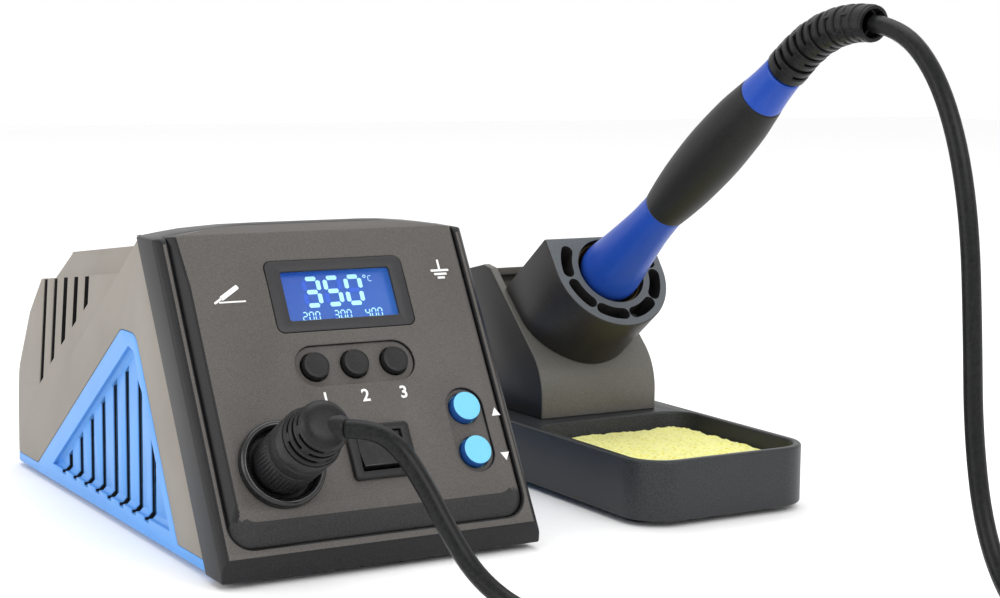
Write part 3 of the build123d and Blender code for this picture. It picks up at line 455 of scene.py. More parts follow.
def ghost_segment():
    """Segments that are off, hardly darker than the glass."""
    return surfaced("LCD_ghost_segment", "#2a50b4", 0.4, 0.8, 0.0005, 0.05, 0.03,
                    shader={"Emission Color": linear("#3c66cf"), "Emission Strength": 0.45})


def button_silicone():
    """Sky-blue silicone key top."""
    return surfaced("Silicone_sky_blue", "#72c4e2", 0.42, 0.5, 0.006, 0.06, 0.04)


def button_skirt():
    """The key's side, in deeper blue."""
    return surfaced("Silicone_deep_blue", "#1c4f95", 0.45, 0.5, 0.006, 0.06, 0.04)


def black_key():
    """Satin black ABS key."""
    return surfaced("Satin_ABS_key_black", "#131213", 0.42, 0.45, 0.005, 0.08, 0.04)


def gloss_black():
    """Polished black nylon, with sharp reflections over a slight orange peel."""
    return surfaced("Polished_nylon_black", "#0b0b0d", 0.16, 1.6, 0.004, 0.05, 0.05,
                    shader={"Coat Weight": 0.5, "Coat Roughness": 0.08})


def satin_black():
    """Moulded black thermoset."""
    return surfaced("Moulded_thermoset_black", "#101011", 0.5, 0.5, 0.008, 0.1, 0.05)


def plug_metal():
    """Zinc plug body under black paint."""
    return surfaced("Black_painted_zinc", "#131315", 0.38, 0.5, 0.006, 0.12, 0.06)


def contact_brass():
    """Drawn brass pins."""
    return surfaced("Drawn_brass", "#c9a352", 0.30, 0.3, 0.002, 0.1, 0.08, 1.0, (1, 1, 0.1))


def sleeve_brass():
    """Turned brass, darkened as painted shade so that the ring round the iron inside the bore reads as
    shadow.
    """
    return surfaced("Heat_browned_brass", "#4a3a22", 0.42, 0.3, 0.003, 0.2, 0.2, 1.0)


def board_laminate():
    """Green solder mask over glass-fibre laminate, with the weave just telegraphing through."""
    return surfaced("Solder_mask_green", "#0f5a2c", 0.28, 0.6, 0.004, 0.16, 0.1,
                    shader={"Coat Weight": 0.3})


def epoxy_black():
    """Moulded epoxy of electronic parts."""
    return surfaced("Moulded_epoxy", "#17171a", 0.55, 0.25, 0.006, 0.12, 0.08)


def zinc_steel():
    """Zinc-plated steel screws with a faint passivated drift."""
    return surfaced("Zinc_plated_steel", "#a9a9ad", 0.34, 0.4, 0.003, 0.12, 0.12, 1.0)


def core_steel():
    """Varnished laminations, drawn coarser than the real half-millimetre sheets so as to show."""
    return surfaced("Varnished_laminations", "#3c3b42", 0.42, 1.0, 0.05, 0.35, 0.1, 0.6,
                    (0.05, 1, 0.05))


def winding_tape():
    """Amber polyester tape in overlapping wraps."""
    return surfaced("Polyester_tape_amber", "#cfa53a", 0.24, 2.2, 0.05, 0.18, 0.08,
                    stretch=(0.1, 0.1, 1))


def sink_aluminium():
    """Extruded aluminium with die lines along its fins."""
    return surfaced("Extruded_aluminium", "#a4a5a8", 0.36, 0.3, 0.006, 0.12, 0.06, 1.0, (1, 1, 0.04))


def rear_abs():
    """Satin black flame-proof ABS of the rear panel and its sockets."""
    return surfaced("Flameproof_ABS_black", "#1b1b1d", 0.46, 0.40, 0.010, 0.15, 0.05)


def nickel():
    """Nickel-plated brass of the earth jack."""
    return surfaced("Nickel_plate", "#b5b1a8", 0.22, 0.6, 0.002, 0.06, 0.06, 1.0)


def foot_rubber():
    """Moulded rubber, dull and dusty."""
    return surfaced("Moulded_rubber", "#1d1d1e", 0.78, 0.6, 0.02, 0.15, 0.15)


def tray_coat():
    """Charcoal powder coat: satin, with a fine orange peel that sparkles a little."""
    return surfaced("Powder_coat_charcoal", colours().tray, 0.38, 0.34, 0.010, 0.20, 0.06)


def tower_coat():
    """Warm grey powder coat of the holder's tower."""
    return surfaced("Powder_coat_warm_grey", "#5e5c57", 0.42, 0.36, 0.010, 0.18, 0.06)


def block_coat_and_tower_shade():
    """Dark powder coat of the cast holder block; on the tower's sides it stands as painted shade."""
    return surfaced("Powder_coat_dark", "#211e1d", 0.42, 0.34, 0.008, 0.15, 0.06)


def block_face_coat():
    """The block's end face, which looks along the iron, in a cooler and lighter grey than its sides."""
    return surfaced("Blasted_aluminium_grey", "#565b5f", 0.46, 0.30, 0.010, 0.22, 0.06)


def sponge_cellulose():
    """Cellulose sponge: lemon yellow, with ragged pores of two sizes, their hollows painted darker as
    shade.
    """
    material, tree = new_material("Cellulose_sponge")
    if tree is None:
        return material
    where = add_node(tree, "TexCoord").outputs["Object"]
    pores = add_node(tree, "TexVoronoi", inputs={"Vector": where, "Scale": 1 / (1.7 * MM),
                                                 "Randomness": 1.0}).outputs["Distance"]
    fibres = add_node(tree, "TexNoise", inputs={"Vector": where, "Scale": 1 / (0.7 * MM),
                                                "Detail": 4.0, "Distortion": 1.2}).outputs[0]
    wide = add_node(tree, "TexNoise", inputs={"Vector": where, "Scale": 1 / (4.5 * MM),
                                              "Detail": 3.0}).outputs[0]
    holes = add_node(tree, "MapRange", inputs={"Value": pores, "From Min": 0.05, "From Max": 0.45})
    depth = add_node(tree, "Math", {"operation": "MULTIPLY"}, {0: holes.outputs[0], 1: fibres})
    # Darker yellow where the pores are deep: painted shade in the hollows.
    light = add_node(tree, "MapRange", inputs={"Value": depth.outputs[0], "From Min": 0.1,
                                               "From Max": 0.5})
    yellow = add_node(tree, "Mix", {"data_type": "RGBA"}, {0: light.outputs[0], 6: linear("#dcd03c"),
                                                          7: linear("#fbf7a4")})
    faded = add_node(tree, "Mix", {"data_type": "RGBA", "blend_type": "SOFT_LIGHT"}, {
        0: wide, 6: yellow.outputs[2], 7: linear("#f0e98c")})
    bump = add_node(tree, "Bump", inputs={"Height": depth.outputs[0], "Strength": 1.0,
                                          "Distance": 0.5 * MM})
    principled = add_node(tree, "BsdfPrincipled", inputs={
        "Base Color": faded.outputs[2], "Roughness": 0.9, "Normal": bump.outputs[0],
        "Sheen Weight": 0.3, "Subsurface Weight": 0.15,
        "Subsurface Radius": (2 * MM, 1.6 * MM, 0.6 * MM)})
    add_node(tree, "OutputMaterial", inputs={"Surface": principled.outputs[0]})
    return material


def tip_plating():
    """Iron plating, grey with a fine grain."""
    return surfaced("Iron_plate_tinned", "#8c8a88", 0.28, 0.8, 0.01, 0.2, 0.15, 1.0)


def barrel_steel():
    """Turned stainless steel."""
    return surfaced("Turned_stainless", "#a39c92", 0.26, 0.25, 0.004, 0.12, 0.18, 1.0, (1, 1, 0.2))


def heater_alumina():
    """Sintered alumina."""
    return surfaced("Sintered_alumina", "#e6e0d6", 0.6, 0.4, 0.006, 0.05, 0.05)


def handle_pbt():
    """Heat-proof black PBT."""
    return surfaced("Heatproof_PBT_black", "#151516", 0.5, 0.5, 0.008, 0.1, 0.05)


def collar_plastic():
    """Royal blue plastic, satin, with light sinking in a little at its edges."""
    return surfaced("Satin_PBT_royal_blue", colours().collar, 0.34, 0.5, 0.003, 0.06, 0.06,
                    shader={"Subsurface Weight": 0.04})


def grip_silicone():
    """Soft silicone rubber: nearly black and velvety, with a wide dim highlight."""
    return surfaced("Silicone_rubber_black", "#080707", 0.52, 0.45, 0.005, 0.06, 0.06,
                    shader={"Sheen Weight": 0.06})


def boot_rubber():
    """Firm moulded rubber of the strain reliefs, satin."""
    return surfaced("Moulded_rubber_satin", "#070708", 0.38, 0.5, 0.004, 0.06, 0.05)


def cord_silicone():
    """Extruded silicone jacket: blue-black, faintly shiny, with talc-dull patches."""
    return surfaced("Silicone_jacket", "#060708", 0.36, 1.2, 0.002, 0.05, 0.03, shine=0.2)


def tie_fabric():
    """Woven hook-and-loop strap: dull and rough, its threads drawn at half a millimetre to show."""
    return surfaced("Woven_strap", "#17171a", 0.85, 0.5, 0.10, 0.5, 0.1,
                    shader={"Sheen Weight": 0.3})


def white_ink():
    """White pad-printed ink."""
    return surfaced("Pad_print_white", "#e9e9e7", 0.5, 0.5, 0.003, 0.05, 0.03)


FINISHES = {
    "case_taupe": case_abs, "frame_black": black_painted_shade, "panel_grey": panel_abs, "base_blue": base_abs,
    "bezel_grey": bezel_abs, "window_clear": window_acrylic, "display_blue": display_glass,
    "button_blue": button_silicone, "button_black": black_key, "switch_black": gloss_black,
    "insulator_black": satin_black, "contact_brass": contact_brass, "board_green": board_laminate,
    "component_black": epoxy_black, "screw_steel": zinc_steel, "core_steel": core_steel,
    "winding_tape": winding_tape, "sink_aluminium": sink_aluminium, "rear_black": rear_abs,
    "jack_steel": nickel, "foot_rubber": foot_rubber, "tray_charcoal": tray_coat,
    "tower_grey": tower_coat, "block_charcoal": block_coat_and_tower_shade, "sleeve_brass": sleeve_brass,
    "sponge_yellow": sponge_cellulose, "tip_plated": tip_plating, "barrel_steel": barrel_steel,
    "heater_ceramic": heater_alumina, "handle_black": handle_pbt, "collar_blue": collar_plastic,
    "grip_rubber": grip_silicone, "plug_black": plug_metal, "cord_rubber": cord_silicone,
    "tie_black": tie_fabric,
}


# ---- case -----------------------------------------------------------------------------------
def shell(node, slot, width, segments=2, body="station", finish=None, angle=32.0, whole=True):
    """A CAD shell with rounded edges in its place."""
    piece = softened(node, width, segments, angle, whole)
    return settle(piece, node + "_shell", Matrix.Identity(4), body, finish or FINISHES[slot](),
                  [node])


BAND_TOP = 19.6                                 # the panel's lower band, painted darker as shade, ends here
LEFT_BEVEL = -45.2                              # the panel's left bevel, painted black as shade, lies beyond this


def build_case():
    cover = shell("top_cover", "case_taupe", 0.35, whole=False)
    # Near-black painted shade goes inside the cover and the base and onto their slot walls.
    paint_shade_inside(cover, inside_painted_shade(), cover)
    paint_shade_inside(shell("base_tray", "base_blue", 0.35, whole=False), inside_painted_shade(), cover)
    # The frame's chamfers take satin black as painted shade; only the faces that look the panel's way take
    # the panel's finish.
    front = shell("front_frame", "frame_black", 0.7, 3)
    second_finish(front, panel_abs(), lambda face: face.normal.dot(PANEL_NORMAL) > 0.98)
    panel = shell("front_panel", "panel_grey", 0.45, 3)
    to_panel = PANEL.inverted()

    # The panel's upright sides and its left bevel take the satin black as painted shade.
    def side_in_shade(face):
        place = to_panel @ face.center
        upright = abs(face.normal.dot(PANEL_NORMAL)) < 0.3
        return upright or place.x < LEFT_BEVEL and place.y > BAND_TOP

    # The panel's lower band is painted darker as shade, where it turns down from the light.
    second_finish(panel, panel_band_painted_shade(), lambda face: (to_panel @ face.center).y < BAND_TOP)
    second_finish(panel, black_painted_shade(), side_in_shade)


# ---- display --------------------------------------------------------------------------------
DIGITS = {"0": "abcdef", "2": "abged", "3": "abgcd", "4": "fgbc", "5": "afgcd"}
SPOTS = {"a": (0, 1), "g": (0, 0), "d": (0, -1), "b": (1, 0.5), "c": (1, -0.5), "f": (-1, 0.5),
         "e": (-1, -0.5)}                       # where each segment lies, in half widths and heights
# from the display's middle: first digit, step to the next one, digit size and segment thickness
READING_AT, READING_STEP, READING_SIZE, READING_THICK = (-8.0, 1.9), 7.1, (4.7, 8.8), 1.7
PRESET_AT, PRESET_STEP, PRESET_SIZE, PRESET_THICK = (-12.2, -6.0), 2.1, (1.35, 2.7), 0.45
PRESET_GROUP = 10.6                             # from one preset's number to the next one's
DEGREE_AT, UNIT_AT = (10.6, 6.2), ((12.4, 6.3), (12.4, 4.6), (11.8, 5.45))
LIT_LEVEL, GHOST_LEVEL = -2.5, -2.53            # below the panel's face


def segment(length, thick, turned_up):
    """One long six-sided segment of a display digit."""
    piece = primitive("circle", vertices=6, radius=thick / 2, fill_type="NGON",
                      rotation=(0, 0, pi / 6))
    bpy.ops.object.mode_set(mode="EDIT")
    for side in (-1, 1):
        pick(piece, lambda vert: vert.co.x * side > 0.01, "verts")
        bpy.ops.transform.translate(value=(side * (length - thick) / 2, 0, 0))
    bpy.ops.object.mode_set(mode="OBJECT")
    if turned_up:
        piece.data.transform(Matrix.Rotation(pi / 2, 4, "Z"))
    return piece


def digit(sign, at, size, thick, lit=True):
    """The lit, or the unlit, segments of one digit."""
    wide, high = size
    pieces = []
    for letter, (x, y) in SPOTS.items():
        if (letter in DIGITS[sign]) != lit:
            continue
        upright = letter in "bcef"
        length = (high / 2 if upright else wide) - thick * 0.55
        place = Matrix.Translation((at[0] + x * wide / 2 + y * high * 0.03, at[1] + y * high / 2, 0))
        pieces.append(segment(length, thick, upright))
        pieces[-1].data.transform(place)
    return pieces


def build_display():
    surround = plate(LCD_AT, LCD_SIZE, -1.15, -0.1, 2.4)
    surround = cut(surround, plate(LCD_AT, LCD_VIEW, -3, 3, 0.8, 3))
    settle(soften(surround, 0.25), "lcd_surround", PANEL, "station", bezel_abs(),
           ["lcd_bezel"])
    glass = plate(LCD_AT, (43.0, 21.0), -6.5, -2.6, 0.6, 2)
    settle(glass, "lcd_glass", PANEL, "station", display_glass(), ["lcd_module"])
    u, v = LCD_AT
    layout = [(sign, (u + READING_AT[0] + READING_STEP * step, v + READING_AT[1]), READING_SIZE,
               READING_THICK) for step, sign in enumerate("350")]
    for group, number in enumerate(("200", "300", "400")):
        first = u + PRESET_AT[0] + PRESET_GROUP * group
        layout += [(sign, (first + PRESET_STEP * step, v + PRESET_AT[1]), PRESET_SIZE, PRESET_THICK)
                   for step, sign in enumerate(number)]
    lit = [piece for entry in layout for piece in digit(*entry)]
    degree = turned([(0.30, 0.0), (0.30, 0.04), (0.55, 0.04), (0.55, 0.0)], 20, True)
    degree.data.transform(Matrix.Translation((u + DEGREE_AT[0], v + DEGREE_AT[1], -0.02)))
    unit = [segment(1.0, 0.28, False), segment(1.0, 0.28, False), segment(1.5, 0.28, True)]
    for part, shift in zip(unit, UNIT_AT):
        part.data.transform(Matrix.Translation((u + shift[0], v + shift[1], 0)))
    ghosts = [piece for entry in layout for piece in digit(*entry, False)]
    for name, pieces, level, finish in (("lcd_digits", [*lit, degree, *unit], LIT_LEVEL, lit_segment()),
                                        ("lcd_ghosts", ghosts, GHOST_LEVEL, ghost_segment())):
        settle(joined(pieces), name, PANEL @ Matrix.Translation((0, 0, level)), "station", finish)


# ---- keys and switch ------------------------------------------------------------------------
def key(name, spot, radius, top, finish, skirt=None):
    """A round key: a cap with a soft rim and a dished top over a flange and a stem."""
    stem, flange = 1.6, radius + 1.1
    cap = turned([(stem, -5.8), (stem, -4.0), (flange, -4.0), (flange, -3.0), (radius, -3.0),
                  (radius, top - 0.5), (radius - 0.15, top - 0.15), (radius - 0.5, top),
                  (radius - 1.1, top - 0.03), (0.5, top - 0.12)], 64)
    settle(cap, name + "_cap", PANEL @ Matrix.Translation((*spot, 0)), name, finish, [name], 40)
    if skirt:
        second_finish(cap, skirt, lambda face: face.normal.dot(PANEL_NORMAL) < 0.5)


def build_keys():
    for number, spot in enumerate(PRESETS, 1):
        key(f"preset_button_{number}", spot, 4.2, 0.9, black_key())
    for name, spot in zip(("up_button", "down_button"), ARROWS):
        key(name, spot, 4.65, 1.5, button_silicone(), button_skirt())


def build_switch():
    shell("rocker_housing", "switch_black", 0.25, 2, finish=black_key())
    shell("rocker", "switch_black", 0.30, 3, "rocker")


# ---- socket and plug ------------------------------------------------------------------------
def knurl(piece, low, high, pitch, deepness):
    """Presses grooves into a turned piece between two heights, every pitch vertices."""
    only(piece)
    count = sum(1 for vert in piece.data.vertices if abs(vert.co.z - low) < 0.02)
    bpy.ops.object.mode_set(mode="EDIT")
    step = 2 * pi / max(count, 1)

    def in_groove(vert):
        if not low - 0.02 <= vert.co.z <= high + 0.02 or vert.co.xy.length < 1:
            return False
        turn = round(Vector((1, 0)).angle_signed(vert.co.xy) / step)
        return turn % pitch == 0

    pick(piece, in_groove, "verts")
    bpy.ops.transform.resize(value=(deepness, deepness, 1), center_override=(0, 0, 0))
    bpy.ops.object.mode_set(mode="OBJECT")
    return piece


def build_socket():
    ring = turned([(13.2, 0.03), (13.2, 2.2), (13.0, 2.9), (12.5, 3.3), (11.9, 3.4), (11.2, 3.2),
                   (10.7, 2.6), (10.4, 1.4), (10.2, -1.0), (10.2, -9.0), (11.5, -9.0), (11.5, 0.03)],
                  96, True)
    settle(ring, "socket_collar", AT_SOCKET, "station", gloss_black(), ["socket_ring"], 50)
    nut = turned([(7.9, 0.7), (8.6, 0.7), (9.1, 1.2), (9.2, 2.4), (8.9, 3.2), (8.9, 3.8), (9.25, 4.2),
                  (9.25, 11.4), (8.9, 12.0), (8.9, 12.6), (8.5, 13.0), (7.9, 13.0)], 144, True)
    nut = knurl(nut, 4.2, 11.4, 3, 0.955)
    settle(nut, "plug_locknut", AT_SOCKET, "plug_nut", plug_metal(), ["plug_nut"], 40)
    barrel = turned([(7.1, -8.0), (7.1, 0.4), (7.5, 0.5), (7.5, 13.5), (9.0, 13.65), (9.3, 14.2),
                     (9.3, 18.2), (8.9, 18.5), (8.9, 19.1), (9.3, 19.4), (9.3, 23.4), (9.0, 23.9),
                     (6.0, 23.95), (6.0, -1.5), (6.3, -1.7), (6.3, -8.0)], 96, True)
    settle(barrel, "plug_barrel", AT_SOCKET, "plug", plug_metal(), ["plug_shell"], 40)


def build_plug_boot():
    """Ribbed end of the plug, with bridges between its ribs, a rounded cap and a stub for the cord."""
    dome = [(6.6 * cos(turn), 33.2 + 2.9 * sin(turn))
            for turn in (radians(15 * step) for step in range(6))]
    parts = [turned([(6.0, 24.0), (6.2, 33.0)] + dome, 64)]
    for step, radius in enumerate((8.7, 8.25, 7.8)):
        low = 24.05 + 2.75 * step
        rib = turned([(5.8, low), (radius - 0.3, low), (radius, low + 0.3), (radius - 0.1, low + 1.35),
                      (radius - 0.4, low + 1.65), (5.8, low + 1.65)], 64, True)
        parts.append(rib)
        for quarter in range(4):
            bridge = soften(plate((radius - 1.2, 0), (1.8, 2.6), low + 1.2, low + 3.0), 0.25)
            bridge.data.transform(Matrix.Rotation(quarter * pi / 2 + step * pi / 4, 4, "Z"))
            parts.append(bridge)
    cap = turned([(6.4, 32.0), (7.3, 32.2), (7.6, 32.8), (7.4, 34.0), (6.6, 35.2), (5.2, 35.9),
                  (3.0, 36.1), (0.6, 36.15)], 64)
    parts.append(cap)
    settle(joined(parts), "plug_strain_relief", AT_SOCKET, "plug", boot_rubber(),
           ["plug_boot"], 40)
    stub = turned([(4.2, 0.0), (4.1, 3.0), (3.9, 6.3), (3.5, 7.3), (2.9, 7.5)], 48)
    start = PANEL @ Vector((*SOCKET_AT, STUB_FROM))
    lie = Matrix.Translation(start) @ STUB_WAY.to_track_quat("Z", "Y").to_matrix().to_4x4()
    settle(stub, "plug_outlet", lie @ Matrix.Scale(MM, 4), "plug", boot_rubber(), (), 40)


# ---- print ----------------------------------------------------------------------------------
def lettering(text, at, size):
    """A printed number as a mesh."""
    only()
    bpy.ops.object.text_add(location=(0, 0, 0))
    words = bpy.context.object
    words.data.body = text
    words.data.size = size
    words.data.align_x = "CENTER"
    words.data.align_y = "CENTER"
    words.data.offset = 0.022 * size
    bpy.ops.object.convert(target="MESH")
    piece = bpy.context.object
    piece.data.transform(Matrix.Translation((*at, 0)))
    return piece


def triangle(at, size, turn):
    """A printed arrow head."""
    piece = primitive("circle", vertices=3, radius=size, fill_type="NGON")
    piece.data.transform(Matrix.Translation((*at, 0)) @ Matrix.Rotation(turn, 4, "Z"))
    return piece


def stroke(at, size, turn=0.0):
    """A printed bar with round ends."""
    piece = plate((0, 0), size, -0.01, 0.0, min(size) * 0.3, 3)
    piece.data.transform(Matrix.Translation((*at, 0)) @ Matrix.Rotation(turn, 4, "Z"))
    return piece


NUMBERS = {"1": -10.3, "2": 2.9, "3": 15.8}     # under the preset keys
NUMBERS_UP, NUMBER_SIZE = 53.7, 5.4
UP_ARROW, DOWN_ARROW, ARROW_SIZE = (45.4, 44.4), (45.0, 30.6), 1.75
IRON_MARK_TURN = 0.55                           # lean of the iron in its pictogram
EARTH_AT, EARTH_STEP = (38.7, 93.2), 1.25
INK = 0.03                                      # the print's height above the panel


def build_print():
    """Numbers, arrows and two plain pictograms: an iron on the left, an earth sign on the right."""
    marks = [lettering(number, (u - 0.1, NUMBERS_UP), NUMBER_SIZE) for number, u in NUMBERS.items()]
    marks += [triangle(UP_ARROW, ARROW_SIZE, 0.0), triangle(DOWN_ARROW, ARROW_SIZE, pi)]
    marks += [stroke((-33.6, 89.6), (7.2, 1.5), IRON_MARK_TURN),
              stroke((-37.6, 87.2), (3.2, 0.7), IRON_MARK_TURN), stroke((-33.2, 86.6), (8.6, 0.5))]
    u, v = EARTH_AT
    marks += [stroke((u, v - EARTH_STEP * step), (6.4 - 1.9 * step, 0.75)) for step in range(3)]
    marks += [stroke((u, 95.2), (0.75, 3.4))]
    settle(joined(marks), "panel_print", PANEL @ Matrix.Translation((0, 0, INK)), "station",
           white_ink())


# ---- rear and inside ------------------------------------------------------------------------
def build_rear():
    for node, width in (("rear_panel", 0.3), ("mains_inlet", 0.4), ("fuse_holder", 0.25)):
        shell(node, "rear_black", width)
    shell("fuse_cap", "rear_black", 0.3, 2, "fuse_cap")
    shell("ground_jack", "jack_steel", 0.2)
    shell("inlet_screws", "screw_steel", 0.12)
    shell("inlet_pins", "contact_brass", 0.2)
    shell("station_feet", "foot_rubber", 0.15)
    shell("stand_feet", "foot_rubber", 0.15)


def build_inside():
    """Finishes on every CAD node, most of which are inside; the visible ones are replaced later."""
    for entry in frame["record"]["subparts"]:
        node = frame["nodes"][entry["node"]]
        node.data.materials.clear()
        node.data.materials.append(FINISHES[entry["material_slot"]]())


# ---- holder ---------------------------------------------------------------------------------
BORE_RIM = 20.5                                 # the block's edges nearer its bore stay sharp


def build_holder():
    shell("stand_base", "tray_charcoal", 0.9, 3, angle=40.0)
    tower = shell("stand_tower", "tower_grey", 0.6, 3)
    # The tower's sides take the block's dark coat as painted shade, where the control unit shades them.
    second_finish(tower, block_coat_and_tower_shade(), lambda face: abs(face.normal.x) > 0.9)
    block = softened("holder_block", 0, whole=False)
    to_iron = IRON.inverted()
    bpy.ops.object.mode_set(mode="EDIT")
    pick(block, lambda edge: edge.calc_face_angle(0) > 0.6 and all(
        (to_iron @ vert.co).xy.length > BORE_RIM for vert in edge.verts), "edges")
    bpy.ops.mesh.bevel(offset=0.7 * MM, segments=3, affect="EDGES")
    bpy.ops.object.mode_set(mode="OBJECT")
    settle(block, "holder_block_shell", Matrix.Identity(4), "station", block_coat_and_tower_shade(),
           ["holder_block"])
    second_finish(block, block_face_coat(), lambda face: face.normal.dot(IRON_AXIS) > 0.9)
    # The liner's brass is darkened as painted shade in the bore.
    sleeve = turned([(12.9, -26.0), (12.9, -2.2), (12.6, -2.0), (12.1, -2.0), (11.9, -2.3), (11.9, -4.2),
                     (9.7, -5.4), (9.7, -7.0), (11.9, -8.2), (11.9, -26.0)], 96, True)
    settle(sleeve, "holder_liner", IRON, "station", sleeve_brass(), ["holder_sleeve"], 40)


def box_in_place(node):
    """A node's lowest corner, middle and size, in the control unit's own millimetres."""
    low, high = (STATION.inverted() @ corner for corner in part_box(node))
    return low, (low + high) / 2, high - low


def build_sponge():
    low, middle, size = box_in_place("sponge")
    pad = plate((0, 0), (size.x - 0.8, size.y - 0.8), 0, size.z - 0.4, 8.5, 6)
    pad = modified(pad, "REMESH", mode="VOXEL", voxel_size=1.1)
    pad = modified(pad, "SUBSURF", levels=1, render_levels=1)
    for label, scale, strength in (("broad", 5.0, 1.1), ("fine", 1.6, 0.7)):
        texture = bpy.data.textures.new("sponge_" + label, "CLOUDS")
        texture.noise_scale = scale
        texture.noise_depth = 2
        pad = modified(pad, "DISPLACE", texture=texture, strength=strength, mid_level=0.5,
                       texture_coords="LOCAL")
    for vert in pad.data.vertices:
        vert.co.z = max(vert.co.z, 0.0)
    settle(pad, "sponge_pad", STATION @ Matrix.Translation((middle.x, middle.y, low.z)), "sponge",
           sponge_cellulose(), ["sponge"], 180)


# ---- iron -----------------------------------------------------------------------------------
def on_iron(name, profile, finish, node, body="iron", sides=72, closed=False, angle=40.0):
    """A turned piece of the iron."""
    piece = turned(profile, sides, closed)
    return settle(piece, name, IRON, body, finish, [node], angle)


def build_iron():
    on_iron("collar_front", [(6.1, -1.2), (8.0, -3.7), (9.9, -3.7), (10.6, -3.3), (10.9, -2.4)] + flowing(
        [(10.95, -1.0), (10.9, 2.5), (9.5, 13.0), (7.95, 27.0), (7.45, 36.0), (7.4, 40.2)])
        + [(7.2, 40.65), (6.1, 40.65)], collar_plastic(), "front_collar", closed=True)
    start, end = GRIP_START + 0.1, GRIP_END - 0.1
    on_iron("grip_sleeve", [(6.1, start), (7.3, start)] + flowing(
        [(7.65, start + 0.4), (8.7, start + 9), (9.5, start + 19), (9.95, start + 34), (9.3, start + 50),
         (8.3, end - 5), (7.7, end - 0.4)]) + [(7.3, end), (6.1, end)],
        grip_silicone(), "grip", closed=True)
    on_iron("collar_rear", [(6.1, GRIP_END), (7.45, GRIP_END), (7.55, GRIP_END + 0.4)] + flowing(
        [(7.4, GRIP_END + 1), (6.8, COLLAR_END - 7), (6.35, COLLAR_END - 0.4)]) + [
        (6.1, COLLAR_END - 0.05), (3.0, COLLAR_END - 0.05), (3.0, COLLAR_END - 2), (6.1, COLLAR_END - 2)],
        collar_plastic(), "rear_collar", closed=True)
    on_iron("tip", [(0.35, TIP_END + 0.1), (0.7, TIP_END + 0.5), (1.6, TIP_END + 6), (2.9, TIP_END + 13.2),
                    (3.25, TIP_END + 14.5), (3.3, TIP_END + 16), (3.3, -50.1), (2.35, -50.1),
                    (2.35, -57.0)], tip_plating(), "iron_tip")
    on_iron("barrel", [(2.7, -50.0), (4.3, -50.0), (4.6, -49.6), (4.6, -30.2), (4.4, -30.0), (4.4, -29.0),
                       (4.6, -28.8), (4.6, -14.1), (5.8, -13.9), (5.8, -12.1), (2.7, -12.1)],
            barrel_steel(), "tip_barrel", closed=True)
    nut = turned([(4.95, -19.0), (6.6, -19.0), (7.5, -17.6), (7.55, -17.2), (7.55, -6.0), (7.3, -5.4),
                  (6.4, -5.4), (6.4, -14.3), (4.95, -14.3)], 96, True)
    nut = knurl(nut, -17.2, -6.0, 3, 0.96)
    settle(nut, "barrel_locknut", IRON, "barrel_nut", barrel_steel(), ["barrel_nut"], 40)


def boot_place(length):
    """The boot's centreline frame at a length from its start, on the iron's axes."""
    bent = max(length - BOOT_STRAIGHT, 0.0) / BOOT_RADIUS
    straight = min(length, BOOT_STRAIGHT)
    hinge = Vector((0, -BOOT_RADIUS, COLLAR_END + straight))
    turn = Matrix.Rotation(bent, 4, "X")
    return Matrix.Translation(hinge) @ turn @ Matrix.Translation((0, BOOT_RADIUS, 0))


def build_iron_boot():
    """Strain relief of spaced ribs held by staggered bridges round a thin tube."""
    length, ribs, margin = BOOT_LENGTH, 12, 4.6
    core = primitive("circle", vertices=48, radius=4.5)
    core.data.transform(boot_place(0))
    bpy.ops.object.mode_set(mode="EDIT")
    bpy.ops.mesh.select_all(action="SELECT")
    bpy.ops.mesh.extrude_region_move(TRANSFORM_OT_translate={"value": (0, 0, BOOT_STRAIGHT)})
    bpy.ops.mesh.spin(steps=16, angle=-BOOT_TURN, center=(0, -BOOT_RADIUS, COLLAR_END + BOOT_STRAIGHT),
                      axis=(1, 0, 0))
    bpy.ops.object.mode_set(mode="OBJECT")
    core = modified(core, "SOLIDIFY", thickness=0.9, offset=-1)
    parts = [core]
    for step in range(ribs):
        share = step / (ribs - 1)
        at = 2.4 + (length - margin) * share
        radius = 6.75 - 1.15 * share
        half = 1.1 if step not in (0, ribs - 1) else 1.5
        rib = turned([(4.3, -half), (radius - 0.35, -half), (radius, -half + 0.35),
                      (radius, half - 0.35), (radius - 0.35, half), (4.3, half)], 48, True)
        rib.data.transform(boot_place(min(max(at, half + 0.05), length - half)))
        parts.append(rib)
        if step == ribs - 1:
            break
        gap = (length - margin) / (ribs - 1)
        for side in (0, 1):
            reach = gap / 2 - 0.6
            bridge = soften(plate((radius - 1.25, 0), (2.0, 4.4), -reach, reach), 0.2)
            bridge.data.transform(boot_place(at + gap / 2) @ Matrix.Rotation(
                side * pi + (step % 2) * pi / 2 + pi / 4, 4, "Z"))
            parts.append(bridge)
    settle(joined(parts), "iron_strain_relief", IRON, "iron", boot_rubber(),
           ["cord_boot"], 40)


# ---- cords ----------------------------------------------------------------------------------
def coil_turns():
    """The coil's centreline: in along the top layer, down, and out along the bottom one."""
    points = []
    turns_in, turns_out, drop = 1.5, 2.0, 0.3
    for step in range(1, int((turns_in + turns_out) * TURN_POINTS) + 1):
        turn = step / TURN_POINTS
        if turn <= turns_in:
            radius = COIL_WIDE + (COIL_TIGHT - COIL_WIDE) * turn / turns_in
        else:
            radius = COIL_TIGHT + (COIL_WIDE - COIL_TIGHT) * (turn - turns_in) / turns_out
        fall = min(max((turn - turns_in) / drop, 0.0), 1.0)
        height = COIL_TOP + (COIL_BOTTOM - COIL_TOP) * fall * fall * (3 - 2 * fall)
        angle = -2 * pi * turn
        points.append(COIL_AT + Vector((radius * cos(angle), radius * sin(angle), height)))
    return points


